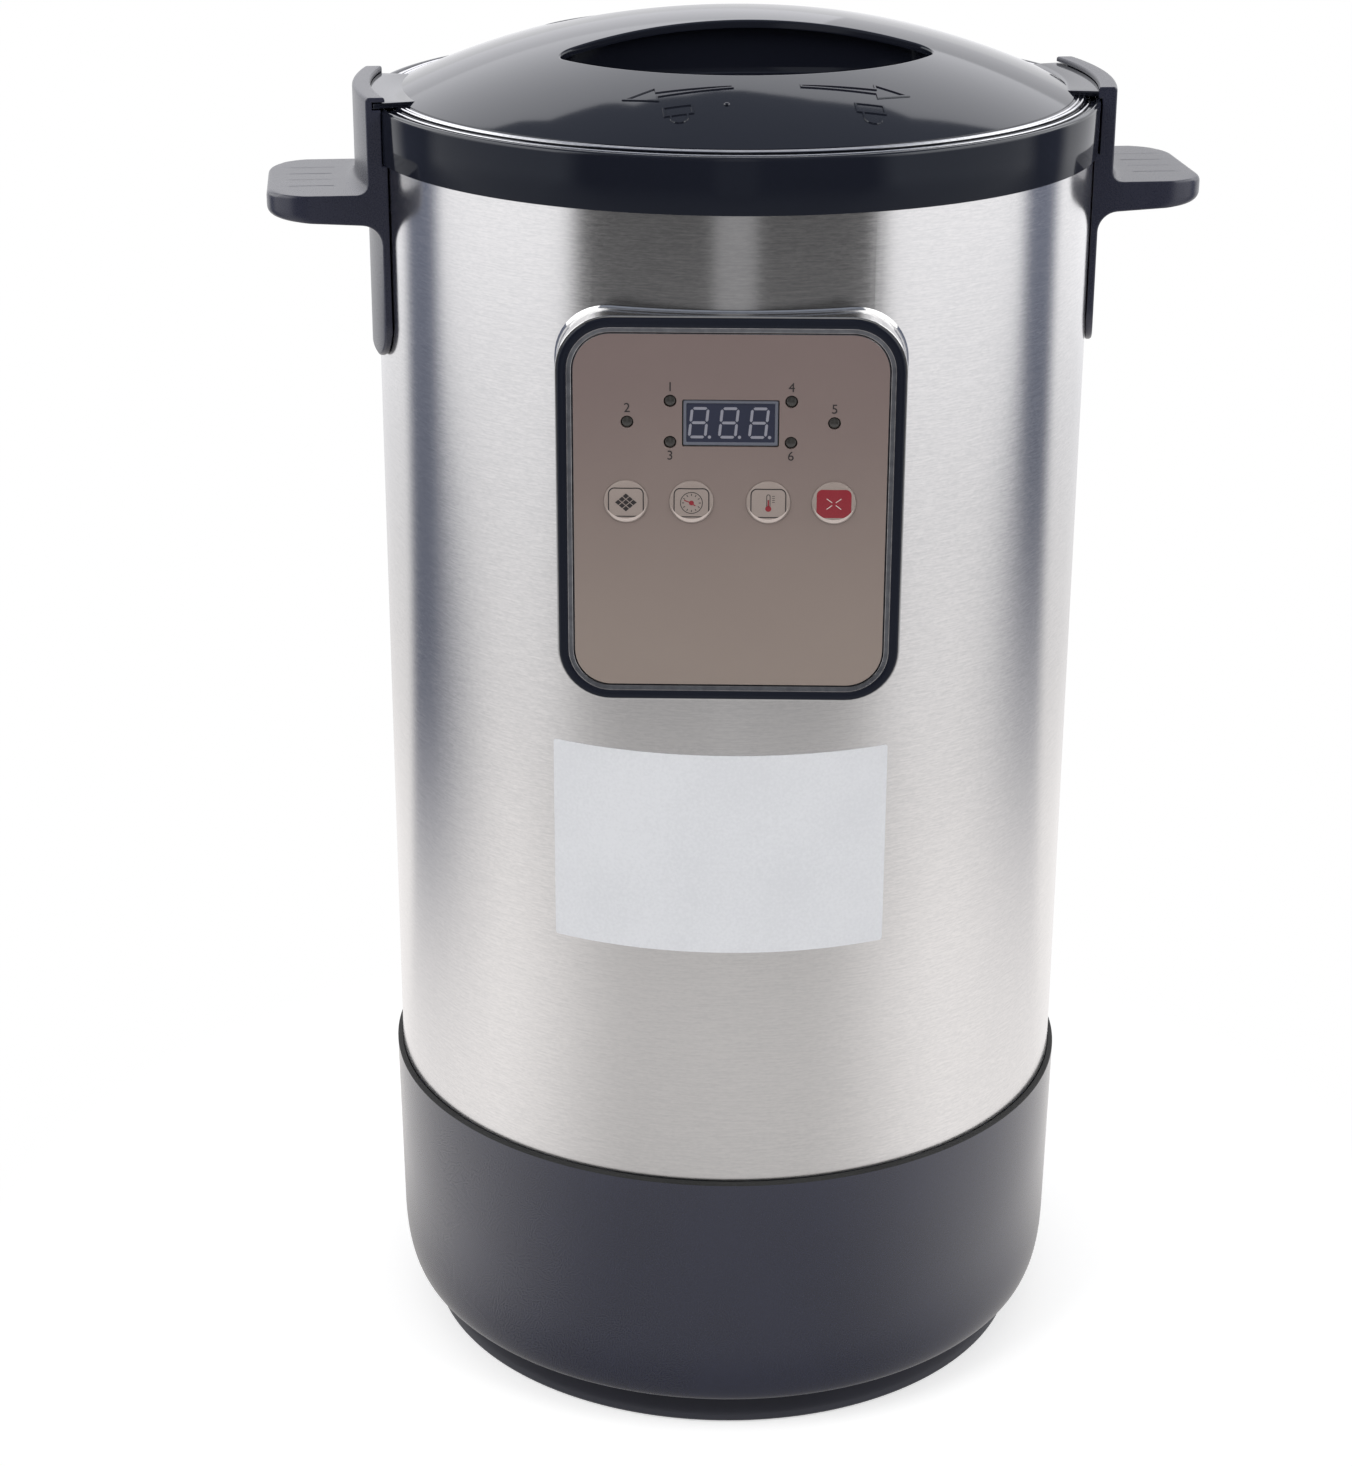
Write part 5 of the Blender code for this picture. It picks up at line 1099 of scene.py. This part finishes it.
def pushButton(number, x):
    b = buttons
    onButton = lambda points: [onPanel(x + u, b["rise"] + v, w) for u, v, w in points]
    radius, reach = b["radius"], b["radius"] + b["flangeReach"]
    high = panel["plateFront"] - panel["plateThick"] - clearance
    low = high - b["flangeThick"]
    profile = [(r, domeOut(r, 0.0)) for r in [radius * sin(pi / 2 * k / 16) for k in range(17)]]
    profile += [(radius, high), (reach, high), (reach, low), (b["stem"], low), (b["stem"], b["stemEnd"]),
                (0.0, b["stemEnd"])]
    verts, faces = turned(profile, 72)
    piece = makePiece(f"pushButton{number}", onButton(verts), faces, [finishes["button_plastic"]], 30.0)
    seat(piece, f"button_{number}", "button_plastic", f"button_{number}")
    # each button's prints, and the painted highlight on its dome
    for name, material, shapes in buttonPrint(number):
        verts, faces = joined(*shapes)
        ink = makePiece(name + str(number), onButton(verts), faces, [material])
        seat(ink, f"button_{number}", None)


def inkLine(points, width, closed=True):
    return strokeOn(thicken(points, 0.0006, closed), width, buttons["ink"], closed, domeOut)


def inkFill(outline, lift=0.0):   # filled shape on the dome
    lifted = lambda up: (lambda x, y: (x, y, domeOut(x, y) + up))
    return thinSheet(thicken(outline, 0.0005), 0.0008, lifted(buttons["ink"] + lift), lifted(-buttons["sunk"]))


def buttonPrint(number):   # plain pictograms: modes, time, heat and stop, over a painted highlight along each dome's lower edge
    square, rim, highlightShift = roundRect(*buttons["frame"], 5), buttons["paintedHighlightRim"], buttons["paintedHighlightShift"]
    below = [pi + 0.09 + (pi - 0.18) * k / 40 for k in range(41)]
    highlightCrescent = [(rim * cos(a), rim * sin(a)) for a in below]
    highlightCrescent += [(rim * cos(a), rim * sin(a) - highlightShift * sin(a)) for a in below[-2:0:-1]]
    highlightAndPrints = [("keySheen", paleInkAndHighlight, [inkFill(highlightCrescent, 0.00008)])]   # painted highlight: a pale crescent below, where the dome's lower edge catches the light
    dark, red = [inkLine(square, buttons["line"])], []
    if number == 1:
        step, size, flat = 0.00125, 0.00105, 0.86
        for i in range(-1, 2):
            for j in range(-1, 2):
                x, y = (i - j) * step, (i + j) * step * flat
                dark.append(inkFill([(x + size, y), (x, y + size * flat), (x - size, y), (x, y - size * flat)]))
        return highlightAndPrints + [("keyModes", inkDark, dark)]
    if number == 2:
        for a in [pi * k / 6 for k in range(12)]:
            dark.append(inkLine([(r * cos(a), r * sin(a)) for r in (0.0024, 0.0031)], 0.00036, False))
        dark.append(inkLine(disc(0.0, 0.0, 0.0036, 40), 0.00034))
        red = [inkLine([(-0.0024, 0.0009), (-0.0001, 0.0), (0.0013, -0.0010)], 0.00050, False),
               inkFill(disc(0.0, 0.0, 0.0008), 0.00002)]
        return highlightAndPrints + [("keyClock", inkDark, dark), ("keyHand", inkRed, red)]
    if number == 3:
        dark.append(inkLine([(x, y + 0.0008) for x, y in roundRect(0.0011, 0.0044, 0.00054, 5)], 0.00030))
        for y in [0.0004 + k * 0.0007 for k in range(4)]:
            dark.append(inkLine([(0.0012, y), (0.0021, y)], 0.00024, False))
        half, low, high = 0.00024, -0.0016, 0.0012
        red = [inkFill(disc(0.0, -0.0018, 0.0010), 0.00002),
               inkFill([(-half, low), (half, low), (half, high), (-half, high)], 0.00002)]
        return highlightAndPrints + [("keyHeat", inkDark, dark), ("keyBulb", inkRed, red)]
    cross = []
    for way in (-1, 1):
        cross.append(inkLine([(-0.0024, -0.0018 * way), (-0.0006, -0.00045 * way)], 0.00040, False))
        cross.append(inkLine([(0.0006, 0.00045 * way), (0.0024, 0.0018 * way)], 0.00040, False))
    return highlightAndPrints + [("keyStop", inkRed, [inkFill(square, -0.00002)]), ("keyCross", paleInkAndHighlight, cross)]


def lampNumbers():   # plain numbers beside the lamps
    shapes = []
    spots = [(side, index) for side in (-1, 1) for index in range(3)]
    for k, (side, index) in enumerate(spots, 1):
        x, y = lamps["places"][index]
        words = bpy.data.curves.new("number", "FONT")
        words.body, words.size, words.extrude = str(k), lamps["numberSize"], 0.00006
        words.align_x = words.align_y = "CENTER"
        holder = inScene("number", words)
        bpy.context.view_layer.update()
        mesh = bpy.data.meshes.new_from_object(holder.evaluated_get(bpy.context.evaluated_depsgraph_get()))
        y += lamps["numberRise"] if index < 2 else -lamps["numberRise"]
        shapes.append(([onPanel(side * x + v.co.x, y + v.co.y, panel["plateFront"] + v.co.z) for v in mesh.vertices],
                       [list(f.vertices) for f in mesh.polygons]))
        dropTemplate(holder)
    seat(makePiece("lampNumbers", *joined(*shapes), [inkDark]), "housing", None)


bezel()
panelSurround()
faceplate()
displayModule()
displayDigits()
indicatorLamps()
for number, column in enumerate(buttons["columns"], 1):
    pushButton(number, column)
lampNumbers()
print("panel made")

# blank label on the barrel
label = dict(start=radians(-118.0), end=radians(-64.5), low=0.2010, high=0.2750, thick=0.00016, lift=0.00002,
             corner=0.0010, spacing=0.006)


def blankLabel():
    b, radius = label, barrel["radius"]
    turn, height = (b["start"] + b["end"]) / 2, (b["low"] + b["high"]) / 2
    outline = roundRect((b["end"] - b["start"]) * radius, b["high"] - b["low"], b["corner"], 4, 40)
    wrap = lambda r: (lambda u, v: (r * cos(turn + u / radius), r * sin(turn + u / radius), height + v))
    shape = thinSheet(outline, b["spacing"], wrap(radius + b["thick"]), wrap(radius + b["lift"]))
    seat(makePiece("blankLabel", *shape, [labelFilm]), "housing", None)


blankLabel()

# nodes that keep their own shape get the finish of their slot
kept = {"polished_steel": ["inner_tank", "inner_lid", "temperature_sensor", "lid_screw", *numbered("handle_screw", 4)],
        "silicone": ["lid_seal", "tank_gasket"], "felt": ["insulation_sleeve"], "ceramic": ["thermal_fuse"],
        "aluminium": ["heating_plate", "supply_capacitor"], "circuit_board": ["power_board", "control_board"],
        "transformer_iron": ["transformer"], "relay_plastic": ["heater_relay"], "cable_insulation": ["ribbon_cable"],
        "component_plastic": ["lid_washer", *numbered("switch", 4)], "brass": numbered("inlet_pin", 3)}
for finishName, names in kept.items():
    for name in names:
        for place in frame["nodes"][name].material_slots:
            place.link = "OBJECT"
            place.material = finishes[finishName]

# camera, as the photograph was taken
view = dict(focal=3046.119, imageHeight=1466, place=(0.0, -1.08998, 0.66165), pitch=0.374648, yaw=-0.018201,
            roll=0.0031984)


def photoCamera():
    v = view
    data = bpy.data.cameras.new("photoCamera")
    data.sensor_fit, data.sensor_height = "VERTICAL", 24.0
    data.lens = v["focal"] * data.sensor_height / v["imageHeight"]
    data.clip_start, data.clip_end = 0.05, 60.0
    camera = inScene("photoCamera", data)
    yaw, pitch, roll = v["yaw"], v["pitch"], v["roll"]
    ahead = Vector((sin(yaw) * cos(pitch), cos(yaw) * cos(pitch), -sin(pitch)))
    right = Vector((cos(yaw), -sin(yaw), 0.0))
    up = right.cross(ahead)
    turn = Matrix((right * cos(roll) + up * sin(roll), up * cos(roll) - right * sin(roll), -ahead)).transposed()
    camera.matrix_world = Matrix.Translation(v["place"]) @ turn.to_4x4()
    scene.camera = camera


# studio: pale floor, white all round, soft lamps, and dark cards that only reflections see
studio = dict(ambient=0.62, floorSize=7.0, floorGlow=0.50, floorNear=0.16, floorFar=0.32, key=22.0, fill=12.0)


def directlySeen(tree):   # 1 for what the camera sees, also in a mirror or through glass
    path = tree.nodes.new("ShaderNodeLightPath").outputs
    camera, glossy, clear = [Wire(tree, path[f"Is {kind} Ray"]) for kind in ("Camera", "Glossy", "Transmission")]
    return (camera + glossy + clear).ramp(0.0, 1.0)


def studioWorld():
    scene.world = bpy.data.worlds.new("studio")
    scene.world.use_nodes = True
    tree = scene.world.node_tree
    ground = tree.nodes["Background"].inputs
    strength = directlySeen(tree) * (1.0 - studio["ambient"]) + studio["ambient"]
    tree.links.new(strength.socket, ground["Strength"])
    ground["Color"].default_value = (1.0, 1.0, 1.0, 1.0)


def showShader(material, wire):
    material.node_tree.links.new(wire.socket, material.node_tree.nodes["Material Output"].inputs["Surface"])


def studioFloor():
    size = studio["floorSize"]
    corners = [(-size, -size, 0), (size, -size, 0), (size, size, 0), (-size, size, 0)]
    material, here = newFinish("paleFloor", {"Roughness": 0.9, "Specular IOR Level": 0.0})
    wear(material, here.noise(900.0, 2.0).blend((0.80, 0.80, 0.80), (0.83, 0.83, 0.83)))
    glow, white = [here.node("ShaderNodeEmission", {"Color": (1.0, 1.0, 1.0, 1.0), "Strength": strength})
                   for strength in (studio["floorGlow"], 1.0)]
    plain = Wire(here.tree, here.tree.nodes["Principled BSDF"].outputs[0])
    near = here.node("ShaderNodeAddShader", {0: plain, 1: glow})
    away = here.reach().ramp(studio["floorNear"], studio["floorFar"])
    shown = here.node("ShaderNodeMixShader", {0: away, 1: near, 2: white})
    showShader(material, here.node("ShaderNodeMixShader", {0: directlySeen(here.tree), 1: plain, 2: shown}))
    floor = makePiece("floor", corners, [[0, 1, 2, 3]], [material])


def mirrored(name, shape, paint):   # light that is seen only in reflections
    material, here = newFinish(name, {})
    colour, strength = paint(here)
    here.tree.nodes.remove(here.tree.nodes["Principled BSDF"])
    showShader(material, here.node("ShaderNodeEmission", {"Color": rgba(colour), "Strength": strength}))
    piece = makePiece(name, *shape, [material])
    piece.visible_camera = piece.visible_diffuse = piece.visible_shadow = piece.visible_transmission = False


def card(name, corners, colour, strength=1.0):
    mirrored(name, (corners, [list(range(len(corners)))]), lambda here: (colour, strength))


room = dict(near=0.119, far=4.5, height=9.0, front=(-49.0, 46.0), strip=(-6.0, 8.0), left=(-124.0, -104.0),
            right=(102.0, 121.0), soft=5.0, shade=0.55, stripTone=0.30, sideColour=(0.15, 0.165, 0.22),
            warm=(1.0, 0.975, 0.965), cool=(0.975, 0.975, 1.0))


def roomLight(here):
    r, soft = room, room["soft"]
    angle = here.maths("ARCTAN2", here.axis(0), -here.axis(1)) * (180 / pi)
    away = here.reach()
    between = lambda start, end, low, high: (angle.ramp(start - low, start + low)
                                             * angle.ramp(end - high, end + high, 1.0, 0.0))
    dim = away.ramp(0.30, 1.90, 0.66, 0.07) * away.ramp(0.18, 0.42, 0.80, 1.0)
    strip = between(*r["strip"], 3.0, 3.0) * away.ramp(0.7, 1.5, 0.0, r["stripTone"])
    spread = away.ramp(0.4, 1.9, 26.0, soft)   # shadows' edges blur towards the object
    inner = away.ramp(0.5, 2.0, 24.0, soft)
    front = between(*r["front"], spread, spread)
    bright = away.ramp(0.42, 0.85, 1.0, 0.82) + away.ramp(1.3, 2.1, 0.0, 0.28)
    tone = (bright - front * (bright - dim.maths("MAXIMUM", dim, strip))) * away.ramp(0.122, 0.20, r["shade"], 1.0)
    (leftFar, leftNear), (rightNear, rightFar) = r["left"], r["right"]
    left = between(leftFar, leftNear + (inner - soft) * 0.7, soft, inner) * away.ramp(0.22, 0.85)
    right = between(rightNear - (inner - soft) * 0.5, rightFar, inner, soft) * away.ramp(0.20, 1.30)
    white = away.ramp(0.4, 1.6).blend(r["warm"], r["cool"])
    return (left + right).blend(white, r["sideColour"]), tone


def darkRoom():   # what the bright metal mirrors: white all round, a dim room in front and two dim gaps at the sides
    rings = [[(*p, z) for p in disc(0.0, 0.0, radius, 96)] for radius, z in
             ((room["near"], 0.003), (room["far"], 0.003), (room["far"] + 0.1, room["height"]))]
    mirrored("darkRoom", tube(rings), roomLight)


def softbox(name, place, size, power):
    data = bpy.data.lights.new(name, "AREA")
    data.shape, data.size, data.size_y, data.energy = "RECTANGLE", size, size, power
    lamp = inScene(name, data)
    lamp.location = place
    lamp.rotation_euler = (Vector((0.0, 0.0, 0.22)) - Vector(place)).to_track_quat("-Z", "Y").to_euler()
    lamp.visible_glossy = False


photoCamera()
studioWorld()
studioFloor()
darkRoom()
ceiling = ((-1.40, 2.60), (-1.11, 2.14), (-0.96, 2.06), (-0.81, 1.87), (-0.68, 1.90), (-0.56, 1.92), (-0.49, 1.87),
           (-0.42, 1.77), (-0.31, 1.85), (-0.19, 1.85), (-0.08, 1.92), (0.04, 1.92), (0.16, 1.87), (0.34, 1.84),
           (0.52, 1.89), (0.66, 1.97), (0.78, 1.92), (0.93, 2.08), (1.14, 2.30), (1.45, 2.70), (1.6, 0.4),
           (1.6, -1.2), (-1.6, -1.2), (-1.6, 0.4))
card("ceilingCard", [(x, y, 2.5) for x, y in ceiling], (0.26, 0.28, 0.33))
backCards = (("backLeft", -3.4, 0.30, 0.95, 1.55, 1.3), ("backRight", 0.30, 3.4, 0.95, 1.55, 1.0),
             ("backHigh", -3.4, 3.4, 1.55, 5.5, 1.6))   # left, right, low, high and strength
for name, x0, x1, z0, z1, strength in backCards:
    card(name, [(x, 3.6, z) for x, z in ((x0, z0), (x1, z0), (x1, z1), (x0, z1))], (0.96, 0.96, 1.0), strength)
for name, x in (("leftBox", -2.2), ("rightBox", 2.2)):
    card(name, [(x, y, z) for y, z in ((-1.6, 0.9), (2.0, 0.9), (2.0, 3.6), (-1.6, 3.6))], (1.0, 1.0, 1.0), 2.4)
softbox("keyLamp", (-1.5, -1.3, 2.0), 1.3, studio["key"])
softbox("fillLamp", (1.6, -0.9, 1.5), 1.1, studio["fill"])
print("camera and studio set")
